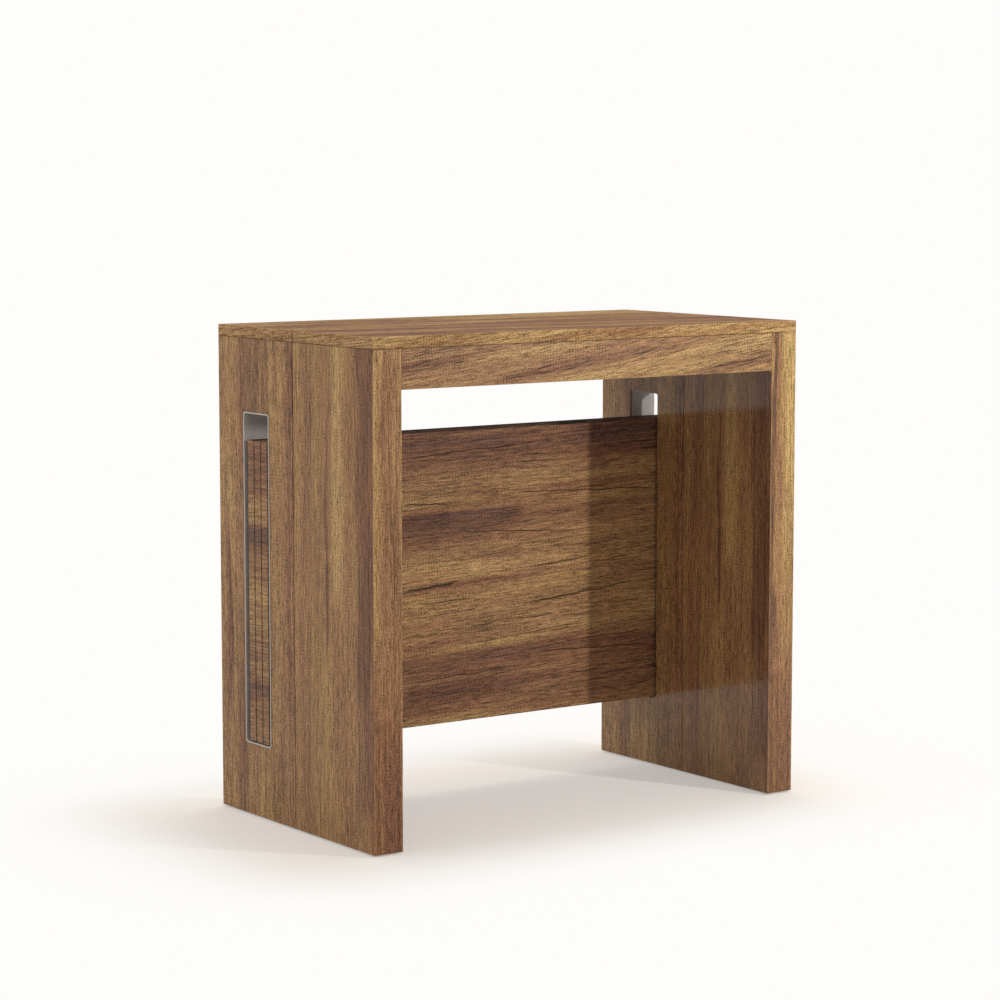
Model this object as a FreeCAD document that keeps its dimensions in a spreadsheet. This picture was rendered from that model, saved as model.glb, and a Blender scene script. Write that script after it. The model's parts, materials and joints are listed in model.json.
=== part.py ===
# Extending console table: two halves on telescopic rails, with three leaves stored in the rear legs.
# Frame: X to the right, Y to the rear, Z up. The origin is on the floor, under the middle of the
# closed table. All sizes are in millimetres.

import FreeCAD, Part
import Sketcher
import os
import re

Vector = FreeCAD.Vector
doc = FreeCAD.newDocument("extending_console_table")

# Driving sizes, one named cell each

SIZES = [
    ("table_width", 800, "left to right over the legs"),
    ("table_depth", 440, "front to rear when closed"),
    ("table_height", 760, "floor to top surface"),
    ("board_thick", 18, "top, apron and leaf board"),
    ("leg_thick", 50, "panel leg"),
    ("apron_height", 60, "below the top"),
    ("edge_round", 0.8, "radius on every board edge"),
    ("seam_gap", 0.8, "between the closed halves"),
    ("leaf_count", 3, "stored leaves"),
    ("leaf_width", 468, "front to rear when laid"),
    ("leaf_gap", 1.6, "between stored leaves"),
    ("leaf_front_gap", 5.3, "slot edge to the first leaf"),
    ("leaf_lift", 1.6, "leaf above the slot floor"),
    ("slot_front", 71.2, "front edge of the clear slot, from the seam"),
    ("slot_width", 71.3, "clear slot, front to rear"),
    ("slot_bottom", 116.4, "floor to the clear slot"),
    ("slot_height", 510.6, "clear slot"),
    ("slot_radius", 4, "inner corner of the sleeve"),
    ("sleeve_wall", 1.5, "sheet of the sleeve"),
    ("sleeve_inset", 3, "end of the sleeve from the inner leg face"),
    ("flange_width", 2, "visible rim round the slot"),
    ("flange_proud", 1.2, "rim beyond the leg face"),
    ("extension_play", 10, "opening beyond the three leaves"),
    ("stage_count", 5, "sliding steps of the rails"),
    ("rail_wide", 12, "one member, across"),
    ("rail_high", 38, "one member"),
    ("rail_long", 400, "one member"),
    ("rail_pitch", 14, "member to member, across"),
    ("rail_drop", 0.5, "member below the top"),
    ("rail_inset", 24, "leg to the first member"),
    ("groove_deep", 5, "cavity of the groove"),
    ("groove_high", 18, "cavity of the groove"),
    ("mouth_high", 8, "opening of the groove"),
    ("lip_thick", 2.5, "lips beside the opening"),
    ("rail_wall", 2, "wall round the hollow chambers"),
    ("slide_fit", 0.4, "slider clearance on each side"),
    ("slider_base", 1.4, "slider plate on its own member"),
    ("slider_base_high", 20, "slider plate"),
    ("slider_inset", 2, "slider from the rear end"),
    ("stop_long", 6, "end stop along the groove"),
    ("stop_fit", 0.1, "end stop clearance"),
    ("stop_play", 0.5, "slider to stop when open"),
    ("bar_wide", 25, "crossbar, front to rear"),
    ("bar_thick", 3, "crossbar"),
    ("bar_pad", 1, "raised end of the crossbar"),
    ("bar_pitch", 40, "crossbar to crossbar when closed"),
    ("hanger_long", 30, "angle, front to rear"),
    ("hanger_out", 20, "angle, leg on the board"),
    ("hanger_down", 28, "angle, leg on the rail"),
    ("hanger_thick", 2, "angle sheet"),
    ("hanger_near", 40, "first hanger, from the seam"),
    ("hanger_far", 160, "second hanger, from the seam"),
    ("hanger_screw_out", 11, "screw row from the rail"),
    ("hanger_screw_half", 8, "half the spacing of its screws"),
    ("screw_head", 3.4, "head radius"),
    ("screw_shank", 1.7, "shank radius"),
    ("screw_head_high", 2.2, "wood screw head"),
    ("wood_screw_long", 14, "wood screw shank"),
    ("machine_head", 3.2, "machine screw head radius"),
    ("machine_head_high", 2, "machine screw head"),
    ("machine_long", 6.4, "machine screw shank"),
    ("recess_deep", 1.2, "cross recess"),
    ("recess_long", 3.6, "cross recess"),
    ("recess_wide", 0.8, "cross recess"),
    ("hole_fit", 0.1, "hole radius over its pin"),
    ("counterbore", 2.1, "slider screw head sunk in the web"),
    ("slider_screw_half", 30, "half the spacing of the slider screws"),
    ("bar_screw_half", 7, "half the spacing of the crossbar screws"),
    ("nut_wide", 10, "slot nut along the rail"),
    ("nut_high", 16, "slot nut"),
    ("nut_thick", 3.2, "slot nut"),
    ("cam_radius", 7.4, "cam disc"),
    ("cam_deep", 12.4, "cam disc"),
    ("cam_reach", 24, "cam centre from the joint"),
    ("cam_bolt_deep", 9, "bolt axis below the face"),
    ("cam_spread", 70, "cams from the middle of the leg"),
    ("bolt_head", 3.2, "ball end radius"),
    ("bolt_neck", 2, "neck radius"),
    ("bolt_shank", 3.4, "shank radius"),
    ("bolt_thread", 2.9, "thread radius"),
    ("bolt_thread_long", 11, "thread"),
    ("bolt_head_half", 2, "half the length of the ball end"),
    ("bolt_neck_long", 3, "neck"),
    ("dowel_radius", 3.95, "wooden dowel"),
    ("dowel_near", 15, "dowel in the first board"),
    ("dowel_far", 12, "dowel in the second board"),
    ("dowel_bevel", 1, "dowel end"),
    ("dowel_half", 16, "apron dowels from its middle line"),
    ("glide_radius", 12, "plastic glide"),
    ("glide_high", 2, "glide below the leg"),
    ("glide_bevel", 0.8, "glide rim"),
    ("stem_radius", 4, "glide stem"),
    ("stem_long", 12, "glide stem"),
    ("glide_spread", 85, "glides from the middle of the leg"),
]

NAMES = {name for name, size, meaning in SIZES}
sheet = doc.addObject("Spreadsheet::Sheet", "Sizes")
for row, (name, size, meaning) in enumerate(SIZES, start=1):
    sheet.set(f"A{row}", name)
    sheet.set(f"B{row}", str(size))
    sheet.set(f"C{row}", meaning)
    sheet.setAlias(f"B{row}", name)
doc.recompute()

# Formulas that several pieces share

LEFT, RIGHT = -1, 1
FRONT, REAR = -1, 1
SIDE_NAMES = {LEFT: "left", RIGHT: "right"}
HALF_NAMES = {FRONT: "front", REAR: "rear"}
MIDDLE_STAGES = (2, 3, 4, 5)
FIRST_RAIL, LAST_RAIL = 1, 6

HALF_WIDTH = "(table_width / 2)"
HALF_DEPTH = "(table_depth / 2)"
TOP_UNDERSIDE = "(table_height - board_thick)"
LEG_HIGH = f"({TOP_UNDERSIDE} - glide_high)"
LEG_DEEP = f"({HALF_DEPTH} - seam_gap / 2)"
LEG_MIDDLE = f"(({HALF_DEPTH} + seam_gap / 2) / 2)"
LEG_CENTRE = f"({HALF_WIDTH} - leg_thick / 2)"
LEG_FACE = f"({HALF_WIDTH} - leg_thick)"
APRON_MIDDLE = f"({TOP_UNDERSIDE} - apron_height / 2)"
APRON_LINE = f"({HALF_DEPTH} - board_thick / 2)"
APRON_FACE = f"({HALF_DEPTH} - board_thick)"
RAIL_TOP = f"({TOP_UNDERSIDE} - rail_drop)"
RAIL_MIDDLE = f"({RAIL_TOP} - rail_high / 2)"
RAIL_BOTTOM = f"({RAIL_TOP} - rail_high)"
RAIL_WEB = "(rail_wide - lip_thick - groove_deep)"
STAGE_TRAVEL = "((leaf_count * leaf_width + extension_play) / stage_count)"
STOP_FACE = "(stop_long - rail_long / 2)"
SLIDER_FRONT = f"({STOP_FACE} + stop_play + {STAGE_TRAVEL})"
SLIDER_REAR = "(rail_long / 2 - slider_inset)"
SLIDER_LONG = f"({SLIDER_REAR} - {SLIDER_FRONT})"
SLIDER_MIDDLE = f"(({SLIDER_REAR} + {SLIDER_FRONT}) / 2)"
SCREW_HOLE = "(screw_shank + hole_fit)"


def cells(formula):
    """Write a formula with its cell names as references to the sheet."""
    return re.sub(r"[a-z_]+", lambda word: f"Sizes.{word.group(0)}", formula)


def amount(formula):
    """Give the present value of a formula."""
    return float(sheet.evalExpression(cells(formula)))


def flip(sign, formula):
    """Give a formula its sign for one side or half."""
    return f"({sign} * {formula})"


def rail_outer(number):
    """Distance from the middle of the table to the outer face of a rail member."""
    return f"({LEG_FACE} - rail_inset - {number - 1} * rail_pitch)"


def rail_inner(number):
    """Distance from the middle of the table to the inner face of a rail member."""
    return f"({rail_outer(number)} - rail_wide)"


def bar_line(number):
    """Place of a stage's crossbar, front to rear, when closed."""
    return f"({3.5 - number} * bar_pitch)"


# Sketches whose points are held by formulas

ORIGIN_POINT = (-1, 1)
ACROSS_AXIS, UP_AXIS = -1, -2
START, END, CENTRE = 1, 2, 3
PLANE_NORMAL = {"XY_Plane": 1, "XZ_Plane": -1, "YZ_Plane": 1}


def sketch_on(body, plane_role, level):
    """Start a sketch on one of the body's own planes, moved to a level along its axis."""
    plane = next(item for item in body.Origin.OriginFeatures if item.Role == plane_role)
    sketch = body.newObject("Sketcher::SketchObject", "Sketch")
    sketch.AttachmentSupport = (plane, [""])
    sketch.MapMode = "FlatFace"
    sketch.setExpression("AttachmentOffset.Base.z", cells(flip(PLANE_NORMAL[plane_role], level)))
    return sketch


def hold(sketch, kind, formula, *where):
    """Add one measured constraint and bind it to its formula."""
    number = sketch.addConstraint(Sketcher.Constraint(kind, *where, amount(formula)))
    sketch.setExpression(f"Constraints[{number}]", cells(formula))


def pin(sketch, item, point, across, up):
    """Hold one point at two formulas measured from the sketch origin."""
    for kind, axis, formula in (("DistanceX", UP_AXIS, across), ("DistanceY", ACROSS_AXIS, up)):
        if formula == "0":
            sketch.addConstraint(Sketcher.Constraint("PointOnObject", item, point, axis))
        else:
            hold(sketch, kind, formula, *ORIGIN_POINT, item, point)


def polygon(sketch, corners):
    """Draw a closed outline through corners given as formulas."""
    places = [Vector(amount(across), amount(up), 0) for across, up in corners]
    lines = []
    for start, end in zip(places, places[1:] + places[:1]):
        lines.append(sketch.addGeometry(Part.LineSegment(start, end), False))
    for line, following in zip(lines, lines[1:] + lines[:1]):
        sketch.addConstraint(Sketcher.Constraint("Coincident", line, END, following, START))
    for line, (across, up) in zip(lines, corners):
        pin(sketch, line, START, across, up)


def circles(sketch, centres, radius):
    """Draw equal circles about centres given as formulas."""
    for across, up in centres:
        middle = Vector(amount(across), amount(up), 0)
        ring = sketch.addGeometry(Part.Circle(middle, Vector(0, 0, 1), amount(radius)), False)
        pin(sketch, ring, CENTRE, across, up)
        hold(sketch, "Radius", radius, ring)


def rounded_rectangle(sketch, left, right, bottom, top, radius):
    """Draw a rectangle with arcs at its corners, all tangent."""
    low, high = Vector(amount(left), amount(bottom), 0), Vector(amount(right), amount(top), 0)
    turn = amount(radius)
    quarter = 90
    pieces = []
    corner_rows = [
        (Vector(low.x + turn, low.y, 0), Vector(high.x - turn, low.y, 0), Vector(high.x - turn, low.y + turn, 0)),
        (Vector(high.x, low.y + turn, 0), Vector(high.x, high.y - turn, 0), Vector(high.x - turn, high.y - turn, 0)),
        (Vector(high.x - turn, high.y, 0), Vector(low.x + turn, high.y, 0), Vector(low.x + turn, high.y - turn, 0)),
        (Vector(low.x, high.y - turn, 0), Vector(low.x, low.y + turn, 0), Vector(low.x + turn, low.y + turn, 0)),
    ]
    for count, (start, end, middle) in enumerate(corner_rows):
        ring = Part.Circle(middle, Vector(0, 0, 1), turn)
        begin = FreeCAD.Units.Quantity((count - 1) * quarter, FreeCAD.Units.Angle).getValueAs("rad").Value
        finish = FreeCAD.Units.Quantity(count * quarter, FreeCAD.Units.Angle).getValueAs("rad").Value
        pieces.append(sketch.addGeometry(Part.LineSegment(start, end), False))
        pieces.append(sketch.addGeometry(Part.ArcOfCircle(ring, begin, finish), False))
    for piece, following in zip(pieces, pieces[1:] + pieces[:1]):
        sketch.addConstraint(Sketcher.Constraint("Tangent", piece, END, following, START))
    lines, arcs = pieces[0::2], pieces[1::2]
    for line, direction in zip(lines, ("Horizontal", "Vertical", "Horizontal", "Vertical")):
        sketch.addConstraint(Sketcher.Constraint(direction, line))
    for arc in arcs:
        hold(sketch, "Radius", radius, arc)
    bounds = (("DistanceY", bottom), ("DistanceX", right), ("DistanceY", top), ("DistanceX", left))
    for line, (kind, formula) in zip(lines, bounds):
        hold(sketch, kind, formula, *ORIGIN_POINT, line, START)


# Solid features

pockets = []


def new_body(label, x="0", y="0", z="0"):
    """Start a body whose place is held by formulas."""
    body = doc.addObject("PartDesign::Body", "Body")
    body.Label = label
    place(body, x, y, z)
    return body


def place(item, x, y, z, turn=None):
    """Bind an object's place to formulas, after giving it its turn."""
    if turn:
        item.Placement = FreeCAD.Placement(Vector(0, 0, 0), turn)
    for axis, formula in zip("xyz", (x, y, z)):
        item.setExpression(f"Placement.Base.{axis}", cells(formula))


def pad(body, sketch, plane_role, length, toward):
    """Raise a sketch along the plane's axis, toward plus or minus."""
    feature = body.newObject("PartDesign::Pad", "Pad")
    feature.Profile = sketch
    feature.setExpression("Length", cells(length))
    feature.Reversed = toward * PLANE_NORMAL[plane_role] < 0
    body.Tip = feature
    return feature


def pocket(body, sketch, plane_role, depth, toward):
    """Sink a sketch along the plane's axis, toward plus or minus."""
    feature = body.newObject("PartDesign::Pocket", "Pocket")
    feature.Profile = sketch
    feature.setExpression("Length", cells(depth))
    feature.Reversed = toward * PLANE_NORMAL[plane_role] > 0
    body.Tip = feature
    pockets.append(feature)
    return feature


def bore(body, plane_role, level, centres, radius, depth, toward):
    """Drill equal round holes."""
    sketch = sketch_on(body, plane_role, level)
    circles(sketch, centres, radius)
    return pocket(body, sketch, plane_role, depth, toward)


def block(body, wide, deep, high):
    """Raise a block that is centred across and stands on the body's floor plane."""
    sketch = sketch_on(body, "XY_Plane", "0")
    half_wide, half_deep = f"({wide} / 2)", f"({deep} / 2)"
    corners = [
        (flip(-1, half_wide), flip(-1, half_deep)),
        (half_wide, flip(-1, half_deep)),
        (half_wide, half_deep),
        (flip(-1, half_wide), half_deep),
    ]
    polygon(sketch, corners)
    return pad(body, sketch, "XY_Plane", high, 1)


def round_all(body, feature, radius):
    """Round every edge of the solid made so far."""
    rounding = body.newObject("PartDesign::Fillet", "Fillet")
    rounding.Base = (feature, ["Edge1"])
    rounding.UseAllEdges = True
    rounding.setExpression("Radius", cells(radius))
    body.Tip = rounding


def board(label, wide, deep, high, x, y, z):
    """Make one board with softened edges."""
    body = new_body(label, x, y, z)
    round_all(body, block(body, wide, deep, high), "edge_round")
    return body


def turned(body, outline):
    """Turn an outline of radius and height about the upright axis."""
    sketch = sketch_on(body, "XZ_Plane", "0")
    polygon(sketch, outline)
    feature = body.newObject("PartDesign::Revolution", "Revolution")
    feature.Profile = sketch
    feature.ReferenceAxis = (sketch, ["V_Axis"])
    feature.Angle = 360
    body.Tip = feature
    return feature


def extrusion(body, outlines, length):
    """Raise outlines drawn across and up along the front-to-rear axis, centred."""
    sketch = sketch_on(body, "XZ_Plane", f"({length} / 2)")
    for outline in outlines:
        polygon(sketch, outline)
    return pad(body, sketch, "XZ_Plane", length, -1)


def box_outline(left, right, bottom, top):
    """Corners of an upright rectangle."""
    return [(left, bottom), (right, bottom), (right, top), (left, top)]


def group(label, template, places):
    """Repeat one hardware piece at several places as one group of separate solids."""
    links = []
    for x, y, z, turn in places:
        link = doc.addObject("App::Link", "Link")
        link.LinkedObject = template
        place(link, x, y, z, turn)
        links.append(link)
    cluster = doc.addObject("Part::Compound", "Group")
    cluster.Label = label
    cluster.Links = links
    return cluster


# Turns for hardware that is drawn with its shank up

UP = FreeCAD.Rotation()
HALF_TURN = FreeCAD.Rotation(Vector(0, 0, 1), 180)


def aim(shank, toward_joint):
    """Turn that points the drawn upright axis along shank and the drawn X axis toward a joint."""
    return FreeCAD.Rotation(toward_joint, shank.cross(toward_joint), shank, "ZXY")


def across(sign):
    """Unit vector to the left or right."""
    return Vector(sign, 0, 0)


def along(sign):
    """Unit vector to the front or rear."""
    return Vector(0, sign, 0)


SKYWARD = Vector(0, 0, 1)


# Hardware templates, each drawn once

def cross_recess(body, level):
    """Sink a cross for the driver into a screw head."""
    for long_side, short_side in (("recess_long", "recess_wide"), ("recess_wide", "recess_long")):
        sketch = sketch_on(body, "XY_Plane", level)
        half_long, half_short = f"({long_side} / 2)", f"({short_side} / 2)"
        outline = box_outline(flip(-1, half_long), half_long, flip(-1, half_short), half_short)
        polygon(sketch, outline)
        pocket(body, sketch, "XY_Plane", "recess_deep", 1)


def wood_screw():
    body = new_body("wood_screw")
    outline = [
        ("0", flip(-1, "screw_head_high")),
        ("(screw_head * 0.7)", flip(-1, "screw_head_high")),
        ("screw_head", flip(-1, "(screw_head_high / 2)")),
        ("screw_head", "0"),
        ("screw_shank", "0"),
        ("screw_shank", "(wood_screw_long - 2 * screw_shank)"),
        ("0", "wood_screw_long"),
    ]
    turned(body, outline)
    cross_recess(body, flip(-1, "screw_head_high"))
    return body


def machine_screw():
    body = new_body("machine_screw")
    outline = [
        ("0", flip(-1, "machine_head_high")),
        ("(machine_head * 0.9)", flip(-1, "machine_head_high")),
        ("machine_head", flip(-1, "(machine_head_high * 0.8)")),
        ("machine_head", "0"),
        ("screw_shank", "0"),
        ("screw_shank", "machine_long"),
        ("0", "machine_long"),
    ]
    turned(body, outline)
    cross_recess(body, flip(-1, "machine_head_high"))
    return body


def cam_lock():
    body = new_body("cam_lock")
    sketch = sketch_on(body, "XY_Plane", "0")
    circles(sketch, [("0", "0")], "cam_radius")
    pad(body, sketch, "XY_Plane", "cam_deep", 1)
    bolt_way = [("0", "cam_bolt_deep")]
    bore(body, "YZ_Plane", "(cam_radius * 1.1)", bolt_way, "(bolt_shank + hole_fit)", "(cam_radius * 1.6)", -1)
    cross_recess(body, "0")
    return body


def cam_bolt():
    body = new_body("cam_bolt")
    head_top = "(bolt_head_half - cam_reach)"
    outline = [
        ("0", "(0 - cam_reach - bolt_head_half)"),
        ("bolt_head", "(0 - cam_reach - bolt_head_half)"),
        ("bolt_head", head_top),
        ("bolt_neck", head_top),
        ("bolt_neck", f"({head_top} + bolt_neck_long)"),
        ("bolt_shank", f"({head_top} + bolt_neck_long)"),
        ("bolt_shank", "0"),
        ("bolt_thread", "0"),
        ("bolt_thread", "bolt_thread_long"),
        ("0", "bolt_thread_long"),
    ]
    turned(body, outline)
    return body


def dowel():
    body = new_body("dowel")
    outline = [
        ("0", flip(-1, "dowel_near")),
        ("(dowel_radius - dowel_bevel)", flip(-1, "dowel_near")),
        ("dowel_radius", "(dowel_bevel - dowel_near)"),
        ("dowel_radius", "(dowel_far - dowel_bevel)"),
        ("(dowel_radius - dowel_bevel)", "dowel_far"),
        ("0", "dowel_far"),
    ]
    turned(body, outline)
    return body


def glide():
    body = new_body("glide")
    outline = [
        ("0", "0"),
        ("(glide_radius - glide_bevel)", "0"),
        ("glide_radius", "glide_bevel"),
        ("glide_radius", "glide_high"),
        ("stem_radius", "glide_high"),
        ("stem_radius", "(glide_high + stem_long)"),
        ("0", "(glide_high + stem_long)"),
    ]
    turned(body, outline)
    return body


def hanger():
    """Steel angle: one leg hangs on the rail, the other lies under the board toward plus X."""
    body = new_body("hanger")
    outline = [
        ("0", "0"),
        ("0", flip(-1, "hanger_down")),
        ("hanger_thick", flip(-1, "hanger_down")),
        ("hanger_thick", flip(-1, "hanger_thick")),
        ("hanger_out", flip(-1, "hanger_thick")),
        ("hanger_out", "0"),
    ]
    extrusion(body, [outline], "hanger_long")
    screw_row = [("hanger_screw_out", flip(sign, "hanger_screw_half")) for sign in (FRONT, REAR)]
    bore(body, "XY_Plane", "0", screw_row, SCREW_HOLE, "hanger_thick", -1)
    rail_hole = [("0", flip(-1, "(rail_drop + rail_high / 2)"))]
    bore(body, "YZ_Plane", "0", rail_hole, SCREW_HOLE, "hanger_thick", 1)
    return body


def slot_nut():
    """Flat nut in the groove, its face on the lips, its thickness toward plus X."""
    body = new_body("slot_nut")
    sketch = sketch_on(body, "YZ_Plane", "0")
    outline = box_outline("(0 - nut_wide / 2)", "(nut_wide / 2)", "(0 - nut_high / 2)", "(nut_high / 2)")
    polygon(sketch, outline)
    pad(body, sketch, "YZ_Plane", "nut_thick", 1)
    bore(body, "YZ_Plane", "0", [("0", "0")], SCREW_HOLE, "nut_thick", 1)
    return body


def tee_outline(base_start, base_end, base_half, neck_end, neck_half, head_end, head_half):
    """Outline of a slider: plate, neck and head, drawn toward plus X."""
    upper = [
        (head_end, head_half),
        (neck_end, head_half),
        (neck_end, neck_half),
        (base_end, neck_half),
        (base_end, base_half),
        (base_start, base_half),
    ]
    lower = [(x, flip(-1, z)) for x, z in reversed(upper)]
    return lower + upper


def slider():
    """Nylon slider on a member's outer face; its head runs in the groove of the next member out."""
    body = new_body("slider")
    gap = "(rail_pitch - rail_wide)"
    neck_end = f"({gap} + lip_thick + slide_fit)"
    head_end = f"({gap} + lip_thick + groove_deep - slide_fit)"
    neck_half = "(mouth_high / 2 - slide_fit)"
    head_half = "(groove_high / 2 - slide_fit)"
    base_half = "(slider_base_high / 2)"
    outline = tee_outline("0", "slider_base", base_half, neck_end, neck_half, head_end, head_half)
    extrusion(body, [outline], SLIDER_LONG)
    screws = [(flip(sign, "slider_screw_half"), "0") for sign in (FRONT, REAR)]
    bore(body, "YZ_Plane", "0", screws, SCREW_HOLE, f"(machine_long - {RAIL_WEB} + counterbore + hole_fit)", 1)
    return body


def end_stop():
    """Block that closes the front end of a groove, drawn from the groove's mouth toward plus X."""
    body = new_body("end_stop")
    neck_half = "(mouth_high / 2 - stop_fit)"
    head_half = "(groove_high / 2 - stop_fit)"
    neck_end = "(lip_thick + stop_fit)"
    head_end = "(lip_thick + groove_deep - stop_fit)"
    outline = [
        ("stop_fit", flip(-1, neck_half)),
        (neck_end, flip(-1, neck_half)),
        (neck_end, flip(-1, head_half)),
        (head_end, flip(-1, head_half)),
        (head_end, head_half),
        (neck_end, head_half),
        (neck_end, neck_half),
        ("stop_fit", neck_half),
    ]
    extrusion(body, [outline], "stop_long")
    return body


WOOD_SCREW = wood_screw()
MACHINE_SCREW = machine_screw()
CAM_LOCK = cam_lock()
CAM_BOLT = cam_bolt()
DOWEL = dowel()
GLIDE = glide()
HANGER = hanger()
SLOT_NUT = slot_nut()
SLIDER = slider()
END_STOP = end_stop()
hardware = [WOOD_SCREW, MACHINE_SCREW, CAM_LOCK, CAM_BOLT, DOWEL, GLIDE, HANGER, SLOT_NUT, SLIDER, END_STOP]

# Boards of the two halves

BOLT_HOLE = "(bolt_shank + 2 * hole_fit)"
THREAD_HOLE = "(bolt_thread + hole_fit)"
DOWEL_HOLE = "(dowel_radius + hole_fit)"
CAM_HOLE = "(cam_radius + hole_fit)"
CAM_SINK = "(cam_deep + 2 * hole_fit)"


def half_top(half):
    """Half of the table top, drilled from below."""
    body = board(
        f"{HALF_NAMES[half]}_top", "table_width", LEG_DEEP, "board_thick",
        "0", flip(half, LEG_MIDDLE), TOP_UNDERSIDE,
    )
    cams = []
    dowels = []
    screws = []
    for side in (LEFT, RIGHT):
        dowels.append((flip(side, LEG_CENTRE), "0"))
        for spread in (FRONT, REAR):
            cams.append((flip(side, f"({LEG_FACE} + cam_bolt_deep)"), flip(spread, "cam_spread")))
            for place_name in ("hanger_near", "hanger_far"):
                line = f"({half} * ({place_name} - {LEG_MIDDLE}) + {spread} * hanger_screw_half)"
                screws.append((flip(side, hanger_screw_line(half)), line))
    bore(body, "XY_Plane", "0", cams, THREAD_HOLE, "(bolt_thread_long + hole_fit)", 1)
    bore(body, "XY_Plane", "0", dowels, DOWEL_HOLE, "(dowel_far + hole_fit)", 1)
    bore(body, "XY_Plane", "0", screws, SCREW_HOLE, "(wood_screw_long - hanger_thick + hole_fit)", 1)
    return body


def hanger_screw_line(half):
    """Distance of the hanger screws from the middle of the table."""
    if half == REAR:
        return f"({rail_outer(FIRST_RAIL)} + hanger_screw_out)"
    return f"({rail_inner(LAST_RAIL)} - hanger_screw_out)"


def half_apron(half):
    """Board under the outer long edge, drilled for the cams behind it and at both ends."""
    label = f"{HALF_NAMES[half]}_apron"
    length = f"(2 * {LEG_FACE})"
    bottom = f"({TOP_UNDERSIDE} - apron_height)"
    body = board(label, length, "board_thick", "apron_height", "0", flip(half, APRON_LINE), bottom)
    middle = "(apron_height / 2)"
    cams = [(flip(side, f"({LEG_FACE} - cam_reach)"), middle) for side in (LEFT, RIGHT)]
    bore(body, "XZ_Plane", flip(-half, "(board_thick / 2)"), cams, CAM_HOLE, CAM_SINK, half)
    dowels = [("0", f"({middle} + {sign} * dowel_half)") for sign in (-1, 1)]
    for side in (LEFT, RIGHT):
        end = flip(side, LEG_FACE)
        bore(body, "YZ_Plane", end, [("0", middle)], BOLT_HOLE, "cam_reach", -side)
        bore(body, "YZ_Plane", end, dowels, DOWEL_HOLE, "(dowel_near + hole_fit)", -side)
    return body


def panel_leg(half, side):
    """Panel leg, drilled for its cams, dowels and glides; the rear ones get the leaf slot."""
    label = f"{HALF_NAMES[half]}_leg_{SIDE_NAMES[side]}"
    x, y = flip(side, LEG_CENTRE), flip(half, LEG_MIDDLE)
    body = board(label, "leg_thick", LEG_DEEP, LEG_HIGH, x, y, "glide_high")
    inward = -side
    face = flip(inward, "(leg_thick / 2)")
    if half == REAR:
        cut_slot(body, face, side)
    cams = [(flip(spread, "cam_spread"), f"({LEG_HIGH} - cam_reach)") for spread in (FRONT, REAR)]
    bore(body, "YZ_Plane", face, cams, CAM_HOLE, CAM_SINK, side)
    bolt_line = flip(inward, "(leg_thick / 2 - cam_bolt_deep)")
    bolts = [(bolt_line, flip(spread, "cam_spread")) for spread in (FRONT, REAR)]
    bore(body, "XY_Plane", LEG_HIGH, bolts, BOLT_HOLE, "cam_reach", -1)
    bore(body, "XY_Plane", LEG_HIGH, [("0", "0")], DOWEL_HOLE, "(dowel_near + hole_fit)", -1)
    apron_line = flip(half, f"({APRON_LINE} - {LEG_MIDDLE})")
    apron_middle = f"({LEG_HIGH} - apron_height / 2)"
    thread_deep = "(bolt_thread_long + hole_fit)"
    bore(body, "YZ_Plane", face, [(apron_line, apron_middle)], THREAD_HOLE, thread_deep, side)
    dowels = [(apron_line, f"({apron_middle} + {sign} * dowel_half)") for sign in (-1, 1)]
    bore(body, "YZ_Plane", face, dowels, DOWEL_HOLE, "(dowel_far + hole_fit)", side)
    glides = [("0", flip(spread, "glide_spread")) for spread in (FRONT, REAR)]
    bore(body, "XY_Plane", "0", glides, "(stem_radius + hole_fit)", "(stem_long + hole_fit)", 1)
    return body


def slot_bounds(margin):
    """Edges of the slot with a margin round it, in the table's frame: front, rear, bottom, top."""
    return (
        f"(slot_front - {margin})",
        f"(slot_front + slot_width + {margin})",
        f"(slot_bottom - {margin})",
        f"(slot_bottom + slot_height + {margin})",
    )


def cut_slot(body, face, side):
    """Cut the leg right through for the sleeve."""
    front, rear, bottom, top = slot_bounds("sleeve_wall")
    sketch = sketch_on(body, "YZ_Plane", face)
    rounded_rectangle(
        sketch, f"({front} - {LEG_MIDDLE})", f"({rear} - {LEG_MIDDLE})",
        f"({bottom} - glide_high)", f"({top} - glide_high)", "(slot_radius + sleeve_wall)",
    )
    pocket(body, sketch, "YZ_Plane", "leg_thick", side)


def slot_sleeve(side):
    """Sheet-metal lining of the slot with its rim on the outer face of the leg."""
    deep = "(leg_thick - sleeve_inset)"
    body = new_body(f"slot_sleeve_{SIDE_NAMES[side]}", flip(side, f"({LEG_FACE} + sleeve_inset)"))
    tube = sketch_on(body, "YZ_Plane", "0")
    rounded_rectangle(tube, *slot_bounds("sleeve_wall"), "(slot_radius + sleeve_wall)")
    pad(body, tube, "YZ_Plane", deep, side)
    rim = sketch_on(body, "YZ_Plane", flip(side, deep))
    rounded_rectangle(rim, *slot_bounds("flange_width"), "(slot_radius + flange_width)")
    pad(body, rim, "YZ_Plane", "flange_proud", side)
    clear = sketch_on(body, "YZ_Plane", "0")
    rounded_rectangle(clear, *slot_bounds("0"), "slot_radius")
    pocket(body, clear, "YZ_Plane", f"({deep} + flange_proud)", side)
    return body


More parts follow.
